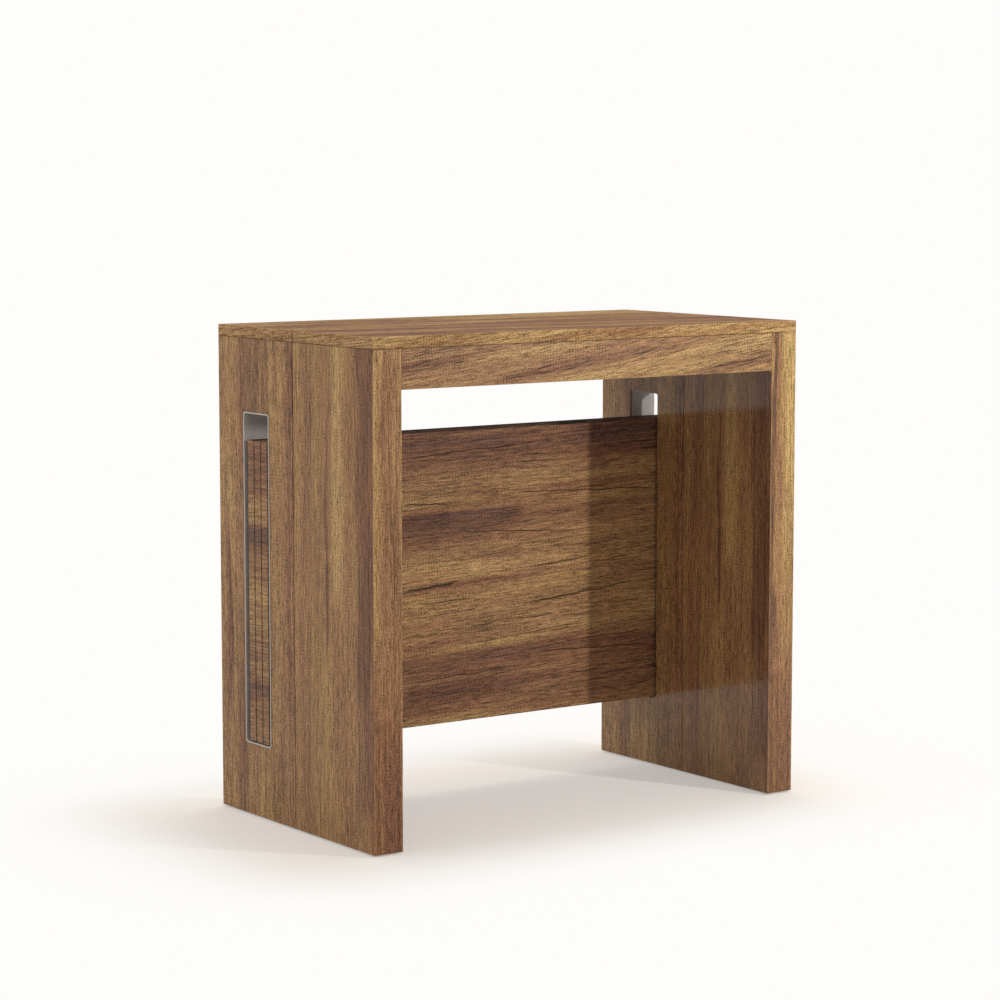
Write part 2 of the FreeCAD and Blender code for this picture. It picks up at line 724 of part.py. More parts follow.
def half_hardware(half):
    """Cams, bolts, dowels and glides of one half."""
    name = HALF_NAMES[half]
    locks, bolts, dowels, glides = [], [], [], []
    for side in (LEFT, RIGHT):
        leg_x = flip(side, LEG_CENTRE)
        cam_x = flip(side, LEG_FACE)
        bolt_x = flip(side, f"({LEG_FACE} + cam_bolt_deep)")
        cam_z = f"({TOP_UNDERSIDE} - cam_reach)"
        for spread in (FRONT, REAR):
            line = f"({half} * {LEG_MIDDLE} + {spread} * cam_spread)"
            locks.append((cam_x, line, cam_z, aim(across(side), SKYWARD)))
            bolts.append((bolt_x, line, TOP_UNDERSIDE, UP))
            glides.append((leg_x, f"({half} * {LEG_MIDDLE} + {spread} * glide_spread)", "0", UP))
        dowels.append((leg_x, flip(half, LEG_MIDDLE), TOP_UNDERSIDE, UP))
        apron_cam_x = flip(side, f"({LEG_FACE} - cam_reach)")
        outward = aim(across(side), SKYWARD)
        into_apron = aim(along(half), across(side))
        locks.append((apron_cam_x, flip(half, APRON_FACE), APRON_MIDDLE, into_apron))
        bolts.append((cam_x, flip(half, f"({APRON_FACE} + cam_bolt_deep)"), APRON_MIDDLE, outward))
        for sign in (-1, 1):
            level = f"({APRON_MIDDLE} + {sign} * dowel_half)"
            dowels.append((cam_x, flip(half, APRON_LINE), level, outward))
    return [
        group(f"{name}_cam_locks", CAM_LOCK, locks),
        group(f"{name}_cam_bolts", CAM_BOLT, bolts),
        group(f"{name}_dowels", DOWEL, dowels),
        group(f"{name}_glides", GLIDE, glides),
    ]


# Telescopic rails

def rail_member(number, side):
    """Hollow extrusion with a groove on its inner side, drilled for what it carries."""
    body = new_body(f"rail_{number}_{SIDE_NAMES[side]}", flip(side, rail_outer(number)), "0", RAIL_MIDDLE)
    inward = -side
    half_high = "(rail_high / 2)"
    cavity_half = "(groove_high / 2)"
    mouth_half = "(mouth_high / 2)"
    lip = "(rail_wide - lip_thick)"
    lower = [
        ("0", flip(-1, half_high)),
        ("rail_wide", flip(-1, half_high)),
        ("rail_wide", flip(-1, mouth_half)),
        (lip, flip(-1, mouth_half)),
        (lip, flip(-1, cavity_half)),
        (RAIL_WEB, flip(-1, cavity_half)),
    ]
    upper = [(x, z.replace("(-1 * ", "(1 * ")) for x, z in reversed(lower)]
    profile = [(x if x == "0" else flip(inward, x), z) for x, z in lower + upper]
    chamber_in, chamber_out = "rail_wall", "(rail_wide - rail_wall)"
    chamber_near, chamber_far = f"({cavity_half} + rail_wall)", f"({half_high} - rail_wall)"
    chambers = []
    for sign in (-1, 1):
        near, far = flip(sign, chamber_near), flip(sign, chamber_far)
        chambers.append(box_outline(flip(inward, chamber_in), flip(inward, chamber_out), near, far))
    extrusion(body, [profile] + chambers, "rail_long")
    if number == FIRST_RAIL:
        bolts = [("hanger_near", "0"), ("hanger_far", "0")]
        bore(body, "YZ_Plane", "0", bolts, SCREW_HOLE, RAIL_WEB, inward)
    else:
        screws = [(f"({SLIDER_MIDDLE} + {sign} * slider_screw_half)", "0") for sign in (FRONT, REAR)]
        bore(body, "YZ_Plane", "0", screws, SCREW_HOLE, RAIL_WEB, inward)
        web_face = flip(inward, RAIL_WEB)
        bore(body, "YZ_Plane", web_face, screws, "(machine_head + hole_fit)", "counterbore", side)
    if number in MIDDLE_STAGES:
        middle = flip(inward, "(rail_wide / 2)")
        bar_screws = [(middle, f"({bar_line(number)} + {sign} * bar_screw_half)") for sign in (FRONT, REAR)]
        bore(body, "XY_Plane", flip(-1, half_high), bar_screws, SCREW_HOLE, "rail_wall", 1)
    return body


def rail_sliders(number):
    """Left and right slider of one stage."""
    places = []
    for side, turn in ((LEFT, HALF_TURN), (RIGHT, UP)):
        places.append((flip(side, rail_outer(number)), SLIDER_MIDDLE, RAIL_MIDDLE, turn))
    return group(f"rail_{number}_sliders", SLIDER, places)


def rail_stops(number):
    """Left and right end stop of one member pair."""
    places = []
    line = "(stop_long / 2 - rail_long / 2)"
    for side, turn in ((LEFT, HALF_TURN), (RIGHT, UP)):
        places.append((flip(side, rail_inner(number)), line, RAIL_MIDDLE, turn))
    return group(f"rail_{number}_stops", END_STOP, places)


def crossbar(number):
    """Flat bar below the rails with a raised pad under each of its own two members."""
    body = new_body(f"rail_{number}_crossbar", "0", bar_line(number), RAIL_BOTTOM)
    outer, inner = rail_outer(number), rail_inner(number)
    below = flip(-1, "bar_pad")
    underside = "(0 - bar_pad - bar_thick)"
    outline = [
        (flip(-1, outer), underside),
        (outer, underside),
        (outer, "0"),
        (inner, "0"),
        (inner, below),
        (flip(-1, inner), below),
        (flip(-1, inner), "0"),
        (flip(-1, outer), "0"),
    ]
    extrusion(body, [outline], "bar_wide")
    screws = []
    for side in (LEFT, RIGHT):
        for sign in (FRONT, REAR):
            screws.append((flip(side, f"({outer} - rail_wide / 2)"), flip(sign, "bar_screw_half")))
    bore(body, "XY_Plane", underside, screws, SCREW_HOLE, "(bar_pad + bar_thick)", 1)
    return body


def slider_screw_places(number):
    """Screws that hold a stage's sliders, driven outward from the groove."""
    places = []
    for side in (LEFT, RIGHT):
        seat = flip(side, f"({rail_outer(number)} - {RAIL_WEB} + counterbore)")
        for sign in (FRONT, REAR):
            line = f"({SLIDER_MIDDLE} + {sign} * slider_screw_half)"
            places.append((seat, line, RAIL_MIDDLE, aim(across(side), SKYWARD)))
    return places


def bar_screw_places(number):
    """Screws that hold a stage's crossbar, driven up from below."""
    places = []
    level = f"({RAIL_BOTTOM} - bar_pad - bar_thick)"
    for side in (LEFT, RIGHT):
        for sign in (FRONT, REAR):
            x = flip(side, f"({rail_outer(number)} - rail_wide / 2)")
            places.append((x, f"({bar_line(number)} + {sign} * bar_screw_half)", level, UP))
    return places


def rail_stage(number):
    """Everything of one sliding stage."""
    return [
        rail_member(number, LEFT),
        rail_member(number, RIGHT),
        rail_sliders(number),
        rail_stops(number),
        crossbar(number),
        group(f"rail_{number}_screws", MACHINE_SCREW, slider_screw_places(number) + bar_screw_places(number)),
    ]


def hanger_lines(half):
    """Places of the hangers, front to rear."""
    return [flip(half, "hanger_near"), flip(half, "hanger_far")]


def rail_hangers(half):
    """Angles that hang a half's own rail members, with their screws."""
    name = HALF_NAMES[half]
    hangers, wood_screws, rail_screws, nuts = [], [], [], []
    for side in (LEFT, RIGHT):
        if half == REAR:
            away, face = side, rail_outer(FIRST_RAIL)
            head_seat = f"({face} + hanger_thick)"
        else:
            away, face = -side, rail_inner(LAST_RAIL)
            head_seat = f"({face} - hanger_thick)"
        turn = UP if away == RIGHT else HALF_TURN
        nut_turn = HALF_TURN if away == RIGHT else UP
        for line in hanger_lines(half):
            hangers.append((flip(side, face), line, TOP_UNDERSIDE, turn))
            rail_screws.append((flip(side, head_seat), line, RAIL_MIDDLE, aim(across(-away), SKYWARD)))
            nuts.append((flip(side, f"({face} + lip_thick)"), line, RAIL_MIDDLE, nut_turn))
            for sign in (FRONT, REAR):
                screw_y = f"({line} + {sign} * hanger_screw_half)"
                level = f"({TOP_UNDERSIDE} - hanger_thick)"
                wood_screws.append((flip(side, hanger_screw_line(half)), screw_y, level, UP))
    if half == FRONT:
        rail_screws += slider_screw_places(LAST_RAIL)
    made = [
        group(f"{name}_hangers", HANGER, hangers),
        group(f"{name}_hanger_screws", WOOD_SCREW, wood_screws),
        group(f"{name}_rail_screws", MACHINE_SCREW, rail_screws),
    ]
    if half == FRONT:
        made.append(group(f"{name}_rail_nuts", SLOT_NUT, nuts))
    return made


# Stored leaves

def leaf(name, order):
    """Extension leaf standing on its long edge in the slots."""
    front = f"(slot_front + leaf_front_gap + {order} * (board_thick + leaf_gap))"
    y = f"({front} + board_thick / 2)"
    return board(f"leaf_{name}", "table_width", "board_thick", "leaf_width", "0", y, "(slot_bottom + leaf_lift)")


# The assembly

nodes = []
for half in (REAR, FRONT):
    nodes.append(half_top(half))
    nodes.append(half_apron(half))
    for side in (LEFT, RIGHT):
        nodes.append(panel_leg(half, side))
    nodes += half_hardware(half)
    nodes += rail_hangers(half)
for side in (LEFT, RIGHT):
    nodes.append(slot_sleeve(side))
    nodes.append(rail_member(FIRST_RAIL, side))
    nodes.append(rail_member(LAST_RAIL, side))
nodes.append(rail_stops(FIRST_RAIL))
nodes.append(rail_sliders(LAST_RAIL))
for number in MIDDLE_STAGES:
    nodes += rail_stage(number)
for order, name in enumerate(("front", "middle", "rear")):
    nodes.append(leaf(name, order))
doc.recompute()

# Checks before writing

for item in doc.Objects:
    if "Invalid" in item.State or "Error" in item.State:
        raise RuntimeError(f"{item.Label} did not build: {item.State}")
for feature in pockets:
    if feature.Shape.Volume >= feature.BaseFeature.Shape.Volume:
        raise RuntimeError(f"a pocket of {feature.getParentGeoFeatureGroup().Label} removes nothing")
for node in nodes:
    if node.Shape.isNull() or not node.Shape.isValid():
        raise RuntimeError(f"{node.Label} has no valid shape")

os.makedirs("parts", exist_ok=True)
for node in nodes:
    node.Shape.exportStep(f"parts/{node.Label}.step")
print(len(nodes), "nodes written")
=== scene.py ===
# %% [markdown]
# # An extending console table
# The table stands closed: a fixed rear half, a front half on hidden telescopic rails, and three
# leaves stored on edge in slots through the rear legs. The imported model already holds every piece
# at its real size and place. Modelling it all again could let the two drift apart, so this script
# loads the model as a fixed frame, gives it its looks, and remodels only the two slot sleeves.

# %% Load the frame
import bpy
import json
import math
from collections import namedtuple
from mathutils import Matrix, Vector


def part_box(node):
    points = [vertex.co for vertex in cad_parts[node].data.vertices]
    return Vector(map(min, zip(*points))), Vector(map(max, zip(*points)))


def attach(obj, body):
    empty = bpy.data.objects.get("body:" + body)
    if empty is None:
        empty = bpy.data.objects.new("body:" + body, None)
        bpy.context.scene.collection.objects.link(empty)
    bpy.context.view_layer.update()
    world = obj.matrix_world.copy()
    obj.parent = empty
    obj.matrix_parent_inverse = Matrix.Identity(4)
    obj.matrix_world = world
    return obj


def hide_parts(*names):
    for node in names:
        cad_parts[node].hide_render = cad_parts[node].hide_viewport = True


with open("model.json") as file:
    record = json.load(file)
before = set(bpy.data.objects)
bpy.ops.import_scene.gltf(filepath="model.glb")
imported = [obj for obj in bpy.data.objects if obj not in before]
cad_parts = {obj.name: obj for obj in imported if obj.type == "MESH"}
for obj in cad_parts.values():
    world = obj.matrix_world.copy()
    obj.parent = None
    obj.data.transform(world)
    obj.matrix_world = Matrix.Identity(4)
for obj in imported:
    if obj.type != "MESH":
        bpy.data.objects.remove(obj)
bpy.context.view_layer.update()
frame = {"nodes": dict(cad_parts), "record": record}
nodes = frame["nodes"]
DIGITS = 4


def sizes(low, high):
    """Width, depth and height of a box, rounded for printing."""
    return [round(most - least, DIGITS) for least, most in zip(low, high)]


print("pieces in the frame:", len(nodes))

# %% [markdown]
# ## The camera
# The picture was taken from the left front, a little above the table top, with a long lens. A
# camera can be moved by eye until the view fits, but here the upright and level lines of the real
# table were used to work the viewpoint out, so it needs no fitting. A lens is easiest to set in
# millimetres on a film of known width.

# %% Set up the camera
CAMERA_PLACE = (-2.7007, -3.7816, 1.0040)
CAMERA_TURN = 35.332
CAMERA_DIP = 6.444
LEVEL_LOOK = 90.0
FILM_WIDTH = 36.0
LENS = 106.61

camera_data = bpy.data.cameras.new("camera")
camera_data.sensor_width = FILM_WIDTH
camera_data.lens = LENS
camera = bpy.data.objects.new("camera", camera_data)
camera.location = CAMERA_PLACE
camera.rotation_euler = (math.radians(LEVEL_LOOK - CAMERA_DIP), 0, math.radians(-CAMERA_TURN))
bpy.context.scene.collection.objects.link(camera)
bpy.context.scene.camera = camera
print("camera stands", round(math.hypot(*CAMERA_PLACE), DIGITS), "m from the middle of the floor")

# %% [markdown]
# ## Materials from nodes: sums
# A material is a recipe of nodes: each does one small sum or pattern and hands its result on. Nodes
# can be placed and wired by hand in the editor, but the wood of this table needs hundreds of them.
# So one helper per kind of node adds it, feeds it numbers or other nodes' results and returns its
# output. Recipes then read like ordinary formulas.

# %% Sums
FULL = 1.0
NOISE_LOW, NOISE_HIGH = 0.30, 0.70


class Sums:
    """Adds nodes for sums to one tree; every method below node returns what the new node gives."""

    def __init__(self, tree):
        self.tree = tree

    def feed(self, socket, value):
        """Link another node's result to a socket, or set a plain value on it."""
        if isinstance(value, bpy.types.NodeSocket):
            self.tree.links.new(value, socket)
        else:
            socket.default_value = value

    def node(self, kind, *values, **settings):
        """Add a node, feed its first inputs, and return the node itself."""
        made = self.tree.nodes.new(kind)
        for name, setting in settings.items():
            setattr(made, name, setting)
        for socket, value in zip(made.inputs, values):
            self.feed(socket, value)
        return made

    def sum(self, operation, *values):
        return self.node("ShaderNodeMath", *values, operation=operation).outputs[0]

    def chain(self, operation, first, *others):
        """Join any number of values, two at a time."""
        for other in others:
            first = self.sum(operation, first, other)
        return first

    def add(self, *values):
        return self.chain("ADD", *values)

    def times(self, *values):
        return self.chain("MULTIPLY", *values)

    def most(self, *values):
        return self.chain("MAXIMUM", *values)

    def least(self, *values):
        return self.chain("MINIMUM", *values)

    def less(self, first, second):
        return self.sum("SUBTRACT", first, second)

    def over(self, value, limit):
        """One where the value is above the limit, nothing elsewhere."""
        return self.sum("GREATER_THAN", value, limit)

    def under(self, value, limit):
        """One where the value is below the limit, nothing elsewhere."""
        return self.sum("LESS_THAN", value, limit)

    def without_sign(self, value):
        return self.sum("ABSOLUTE", value)

    def parts(self, vector):
        """Take a vector apart into x, y and z."""
        return self.node("ShaderNodeSeparateXYZ", vector).outputs


print("sums are ready")

# %% [markdown]
# ## Materials from nodes: fades and patterns
# Real surfaces seldom change with a hard step, so most recipes fade from one value to another.
# Noise gives the endless small differences of wood and metal. Painted pictures could do that too,
# but noise is worked out anew at every point, so it never shows a seam or repeats itself.

# %% Fades and patterns
class Recipe(Sums):
    """Adds fades, patterns and colours to the sums."""

    def fade(self, value, low, high, start=0.0, end=FULL):
        """Go smoothly from start to end as the value goes from low to high."""
        limits = (low, high, start, end)
        return self.node("ShaderNodeMapRange", value, *limits, interpolation_type="SMOOTHSTEP").outputs[0]

    def fall(self, value, low, high):
        """Go smoothly from one to nothing as the value goes from low to high."""
        return self.fade(value, low, high, FULL, 0.0)

    def swing(self, noise, reach):
        """Turn a noise, which stays near a half, into an even swing of plus or minus the reach."""
        return self.fade(noise, NOISE_LOW, NOISE_HIGH, -reach, reach)

    def blend(self, factor, first, second):
        """Go from one number to another as the factor goes from nothing to one."""
        made = self.node("ShaderNodeMix", data_type="FLOAT")
        for name, value in (("Factor", factor), ("A", first), ("B", second)):
            self.feed(made.inputs[name], value)
        return made.outputs["Result"]

    def mix(self, factor, first, second, kind="MIX"):
        """Fade between two colours, or multiply the first by the second."""
        made = self.node("ShaderNodeMix", data_type="RGBA", blend_type=kind)
        sockets = {socket.identifier: socket for socket in made.inputs}
        self.feed(sockets["Factor_Float"], factor)
        self.feed(sockets["A_Color"], first)
        self.feed(sockets["B_Color"], second)
        return next(socket for socket in made.outputs if socket.identifier == "Result_Color")

    def noise(self, x, y, z, detail=1.0, roughness=0.5):
        """Cloudy noise; detail adds finer clouds, and roughness says how strong those are."""
        made = self.node("ShaderNodeTexNoise")
        self.feed(made.inputs["Vector"], self.node("ShaderNodeCombineXYZ", x, y, z).outputs[0])
        made.inputs["Scale"].default_value = FULL
        made.inputs["Detail"].default_value = detail
        made.inputs["Roughness"].default_value = roughness
        return made.outputs[0]

    def chance(self, x, y):
        """A fixed random number for each pair of whole numbers."""
        made = self.node("ShaderNodeTexWhiteNoise", noise_dimensions="2D")
        self.feed(made.inputs["Vector"], self.node("ShaderNodeCombineXYZ", x, y, 0.0).outputs[0])
        return made.outputs["Value"]

    def ramp(self, value, stops):
        """Look a value up on a scale of colours."""
        made = self.node("ShaderNodeValToRGB", value)
        scale = made.color_ramp.elements
        while len(scale) < len(stops):
            scale.new(FULL)
        for mark, (place, colour) in zip(scale, stops):
            mark.position = place
            mark.color = colour
        return made.outputs["Color"]

    def relief(self, height, strength, depth):
        """Bend the surface's normal as if the heights were real."""
        made = self.node("ShaderNodeBump")
        made.inputs["Strength"].default_value = strength
        made.inputs["Distance"].default_value = depth
        self.feed(made.inputs["Height"], height)
        return made.outputs["Normal"]


print("fades and patterns are ready")

# %% [markdown]
# ## Colours and new materials
# A paint chart gives red, green and blue as a screen shows them, but a shader reckons with light,
# where half the number isn't half the brightness. Colours are easier to judge on the chart, so they
# are written that way and turned into light by the usual curve: a straight toe for the darkest
# shades and a power for the rest.

# %% Colours and new materials
CHART_TOP = 255
TOE_END, TOE_SLOPE = 0.04045, 12.92
CURVE_LIFT, CURVE_POWER = 0.055, 2.4


def light_of(share):
    """Light that one channel of a chart colour stands for."""
    if share <= TOE_END:
        return share / TOE_SLOPE
    return ((share + CURVE_LIFT) / (FULL + CURVE_LIFT)) ** CURVE_POWER


def srgb(red, green, blue):
    """Turn a chart colour, 0 to 255, into the colour that a shader reads."""
    return (*(light_of(channel / CHART_TOP) for channel in (red, green, blue)), FULL)


def new_material(name):
    """Start a material and return it with its recipe and its shader."""
    material = bpy.data.materials.new(name)
    material.use_nodes = True
    shader = material.node_tree.nodes["Principled BSDF"]
    return material, Recipe(material.node_tree), shader


print("white of the chart in light:", srgb(CHART_TOP, CHART_TOP, CHART_TOP))

# %% [markdown]
# ## Wood: the colour bands
# The boards carry a rustic brown wood face. Along the grain run soft bands of purplish brown, red
# brown, ochre and straw, a hand wide to a finger wide. A cabinet maker calls that the figure. Noise
# with few waves in a metre along the grain and many across it gives such bands. A scale of five
# browns turns the noise into colour, and one more noise tips the hue towards rose or olive, so that
# equally dark places still differ. Each noise shifts the board's seed by its own amount, so that no
# two of them run alike.

# %% Colour bands
Figure = namedtuple("Figure", "along across shift reach detail roughness", defaults=(0.0, 1.0, 0.5))
BANDS = Figure(along=0.7, across=15.0, shift=0.0, reach=0.16)
PATCHES = Figure(along=4.2, across=30.0, shift=2.0, reach=0.12, detail=2.0)
STREAKS = Figure(along=2.4, across=110.0, shift=3.0, reach=0.17, detail=3.0, roughness=0.8)
TINTS = Figure(along=1.1, across=24.0, shift=4.0)
TINT_LOW, TINT_HIGH = 0.36, 0.64
ROSE_TINT = (1.02, 0.99, 1.01, FULL)
OLIVE_TINT = (1.00, 1.00, 0.98, FULL)
PURPLE_BROWN = srgb(100, 74, 64)
RED_BROWN = srgb(137, 97, 71)
MID_BROWN = srgb(156, 118, 84)
OCHRE = srgb(170, 134, 90)
STRAW = srgb(190, 157, 107)
BROWNS = ((0.12, PURPLE_BROWN), (0.36, RED_BROWN), (0.50, MID_BROWN), (0.64, OCHRE), (0.84, STRAW))
MIDDLE = 0.5


def figure(r, along, across, seed, kind):
    """Noise with its own number of waves in a metre along and across the grain."""
    waves = (r.times(along, kind.along), r.times(across, kind.across))
    return r.noise(*waves, r.add(seed, kind.shift), kind.detail, kind.roughness)


def swung(r, along, across, seed, kind):
    """The same noise as an even swing of plus or minus its reach."""
    return r.swing(figure(r, along, across, seed, kind), kind.reach)


def wood_hue(r, along, grain, seed, contrast, tone):
    """Colour of the wood from wide bands, shorter patches and narrow streaks."""
    depth = r.add(*(swung(r, along, grain, seed, kind) for kind in (BANDS, PATCHES, STREAKS)))
    depth = r.add(r.times(depth, contrast), tone, MIDDLE)
    tint = r.fade(figure(r, along, grain, seed, TINTS), TINT_LOW, TINT_HIGH)
    tint = r.mix(tint, OLIVE_TINT, ROSE_TINT)
    return r.mix(FULL, r.ramp(depth, BROWNS), tint, "MULTIPLY")


print("browns on the scale:", len(BROWNS))

# %% [markdown]
# ## Wood: pores and saw marks
# Close up, the face is covered with fine fibres and short dark pores along the grain, and in
# patches with the even beat of a saw across it. They could be cut into the mesh, but they are
# thinner than a hair and change little more than the lightness. So they are drawn as one grey
# factor that later multiplies the colour.

# %% Pores and saw marks
FIBRES = Figure(along=9.0, across=300.0, shift=7.0, reach=0.24, detail=2.0, roughness=0.8)
PORES = Figure(along=50.0, across=480.0, shift=8.0, reach=0.30)
SPECKLE = Figure(along=320.0, across=430.0, shift=9.0, reach=0.32)
SAW_STEP = 0.0051
SAW_JITTER = Figure(along=40.0, across=60.0, shift=11.0, reach=1.8)
SAW_PATCHES = Figure(along=9.0, across=30.0, shift=17.0)
SAW_LOW, SAW_HIGH = 0.46, 0.60
SAW_DEPTH = 0.20


def saw_marks(r, along, grain, seed, sawn):
    """Even beat of a saw across the grain, in patches."""
    turns = r.times(along, 2 * math.pi / SAW_STEP)
    beat = r.sum("SINE", r.add(turns, swung(r, along, grain, seed, SAW_JITTER)))
    patch = r.fade(figure(r, along, grain, seed, SAW_PATCHES), SAW_LOW, SAW_HIGH)
    return r.times(beat, patch, sawn)


def wood_light(r, along, grain, seed, sawn):
    """Fine lightness of the wood around one, and the fibres alone for the relief."""
    fibres = figure(r, along, grain, seed, FIBRES)
    finer = (swung(r, along, grain, seed, kind) for kind in (PORES, SPECKLE))
    light = r.add(r.swing(fibres, FIBRES.reach), *finer)
    ticks = saw_marks(r, along, grain, seed, sawn)
    return r.add(light, r.times(ticks, SAW_DEPTH), FULL), fibres


print("saw marks in a metre:", round(FULL / SAW_STEP))

# %% [markdown]
# ## Wood: cracks in rows
# Thin dark cracks lie in loose rows that lean a little off the grain. Each could be drawn by hand,
# but there are far too many, so they follow a rule. A row is the whole part of a distance divided by
# the gap between rows, and the rest of that division says how far a point is from the line in its
# row. A noise along each row breaks the line into stretches.

# %% Cracks in rows
Cracks = namedtuple("Cracks", "gap half breaks rare shift share")
LONG_CRACKS = Cracks(gap=0.026, half=0.0009, breaks=5.0, rare=0.54, shift=23.0, share=2.0)
SHORT_CRACKS = Cracks(gap=0.0060, half=0.0011, breaks=15.0, rare=0.52, shift=29.0, share=0.7)
CRACK_CORE = 0.3
ROW_MARGIN = 0.2
ROW_STEP = 7.3
BREAK_DETAIL, BREAK_SOFT = 2.0, 0.07


def crack_lines(r, along, lean, seed, kind):
    """Dark lines: one per row, each shown only along some stretches."""
    draw = r.add(seed, kind.shift)
    place = r.sum("DIVIDE", lean, kind.gap)
    row = r.sum("FLOOR", place)
    middle = r.add(r.times(r.chance(row, draw), FULL - 2 * ROW_MARGIN), ROW_MARGIN)
    off = r.times(r.without_sign(r.less(r.sum("FRACT", place), middle)), kind.gap)
    stretch = r.noise(r.times(along, kind.breaks), r.times(row, ROW_STEP), draw, BREAK_DETAIL)
    line = r.fall(off, kind.half * CRACK_CORE, kind.half)
    return r.times(line, r.fade(stretch, kind.rare, kind.rare + BREAK_SOFT))


print("rows of long cracks in a metre:", round(FULL / LONG_CRACKS.gap))

# %% [markdown]
# ## Wood: crowds of cracks and joined blocks
# Short cracks crowd together in patches, as where the tree grew round a branch, while the long ones
# run anywhere. Small blocks, a shade darker, show where short pieces were joined in. A noise says
# where the crowds are, and a random number for each cell of a staggered grid picks the few blocks.

# %% Crowds and blocks
WIGGLE = Figure(along=14.0, across=40.0, shift=19.0, reach=0.0016)
CROWDS = Figure(along=2.6, across=20.0, shift=31.0)
CROWD_LOW, CROWD_HIGH = 0.62, 0.75
CROWD_GAIN = 0.3
CRACK_LEAN = 0.6
BLOCK_WIDE, BLOCK_LONG = 0.031, 0.16
BLOCK_SHIFT = 5.0
BLOCK_STAGGER = 9.0
BLOCK_RARE = 0.93


def crack_layers(r, along, across, grain, seed, slant, cracks):
    """Where short cracks crowd together, and how strong a crack is at each point."""
    wiggle = swung(r, along, across, seed, WIGGLE)
    lean = r.add(grain, r.times(along, slant, CRACK_LEAN), wiggle)
    crowd = r.add(figure(r, along, lean, seed, CROWDS), r.times(cracks, CROWD_GAIN))
    crowd = r.fade(crowd, CROWD_LOW, CROWD_HIGH)
    short = r.times(crack_lines(r, along, lean, seed, SHORT_CRACKS), crowd, SHORT_CRACKS.share)
    long = r.times(crack_lines(r, along, lean, seed, LONG_CRACKS), cracks, LONG_CRACKS.share)
    return crowd, r.add(short, long)


def joined_blocks(r, along, across, seed):
    """One inside a few long blocks, nothing elsewhere."""
    row = r.sum("FLOOR", r.sum("DIVIDE", across, BLOCK_WIDE))
    stagger = r.times(r.chance(row, r.add(seed, BLOCK_SHIFT)), BLOCK_STAGGER)
    column = r.sum("FLOOR", r.add(r.sum("DIVIDE", along, BLOCK_LONG), stagger))
    return r.over(r.chance(row, r.add(column, seed)), BLOCK_RARE)


print("share of joined blocks:", round(FULL - BLOCK_RARE, DIGITS))

# %% [markdown]
# ## Wood: all layers together
# One node group holds the whole recipe, so that every board can use it with its own grain direction
# and character: how far the grain slants, how many cracks and saw marks it has, how strong its
# bands are and how light it is. Copying the nodes into each board's material would work as well,
# but then a change to the wood would have to be made eleven times.

# %% Make the wood group
WOOD_INPUTS = ("Along", "Across", "Seed", "Slant", "Cracks", "Sawn", "Contrast", "Tone")
WOOD_OUTPUTS = {"Colour": "NodeSocketColor", "Gloss": "NodeSocketFloat", "Height": "NodeSocketFloat"}
WANDER = Figure(along=1.4, across=4.0, shift=0.0, reach=0.006)
BLOCK_SHADE = srgb(222, 217, 211)
CRACK_DARK = srgb(52, 36, 28)
BLOCK_SHARE, CROWD_SHARE, CRACK_LIMIT = 0.6, 0.15, 0.9
FIBRE_GLOSS, CRACK_GLOSS = 0.05, 0.25
FIBRE_HEIGHT, CRACK_HEIGHT = 0.5, -0.9


def wood_group():
    """Make the wood recipe: distances along and across the grain in, colour, gloss and relief out."""
    tree = bpy.data.node_groups.new("rustic_wood", "ShaderNodeTree")
    for name in WOOD_INPUTS:
        tree.interface.new_socket(name, in_out="INPUT", socket_type="NodeSocketFloat")
    for name, kind in WOOD_OUTPUTS.items():
        tree.interface.new_socket(name, in_out="OUTPUT", socket_type=kind)
    r = Recipe(tree)
    given = r.node("NodeGroupInput").outputs
    along, across, seed, slant, cracks, sawn, contrast, tone = given[:len(WOOD_INPUTS)]

    grain = r.add(across, r.times(slant, along), swung(r, along, across, seed, WANDER))
    light, fibres = wood_light(r, along, grain, seed, sawn)
    crowd, split = crack_layers(r, along, across, grain, seed, slant, cracks)
    blocks = r.times(joined_blocks(r, along, across, seed), BLOCK_SHARE)

    colour = wood_hue(r, along, grain, seed, contrast, tone)
    colour = r.mix(blocks, colour, BLOCK_SHADE, "MULTIPLY")
    colour = r.mix(r.times(crowd, CROWD_SHARE), colour, PURPLE_BROWN)
    colour = r.mix(FULL, colour, light, "MULTIPLY")
    colour = r.mix(r.least(split, CRACK_LIMIT), colour, CRACK_DARK)
    gloss = r.add(r.swing(fibres, FIBRE_GLOSS), r.times(split, CRACK_GLOSS))
    height = r.add(r.times(fibres, FIBRE_HEIGHT), r.times(split, CRACK_HEIGHT))
    r.node("NodeGroupOutput", colour, gloss, height)
    return tree


WOOD = wood_group()
print("wood recipe has", len(WOOD.nodes), "nodes")

# %% [markdown]
# ## The way of the grain
# The legs have upright grain, the other boards level grain. A leaf's short ends carry on the
# pattern of its faces, and the ends of the tops and aprons have a stretch of wood of their own. The
# boards could be unwrapped, but they are plain slabs, so sums of the Object coordinates do as well.
# Those coordinates stay with the board, and so does its pattern when the table opens.

# %% Way of the grain
SIDEWAYS, DEPTHWAYS, UPWARDS = range(3)
FACING = 0.7
END_SHIFT = 3.1
LEG_SHIFT = 0.75


def facing(r, normal, way):
    """One on faces that look along one of the three ways, nothing on the others."""
    return r.over(r.without_sign(r.parts(normal)[way]), FACING)


def grain_ways(r, lay, place, normal):
    """Distances along and across the grain."""
    x, y, z = r.parts(place)
    if lay == "left leg":
        return z, r.less(y, x)
    if lay == "right leg":
        return z, r.add(r.less(y, x), LEG_SHIFT)
    if lay == "leaf":
        return r.less(x, y), r.times(z, -1.0)
    end = facing(r, normal, SIDEWAYS)
    return r.blend(end, x, y), r.blend(end, r.less(y, z), r.add(z, END_SHIFT))


print("a face looks one way where its normal is above", FACING)

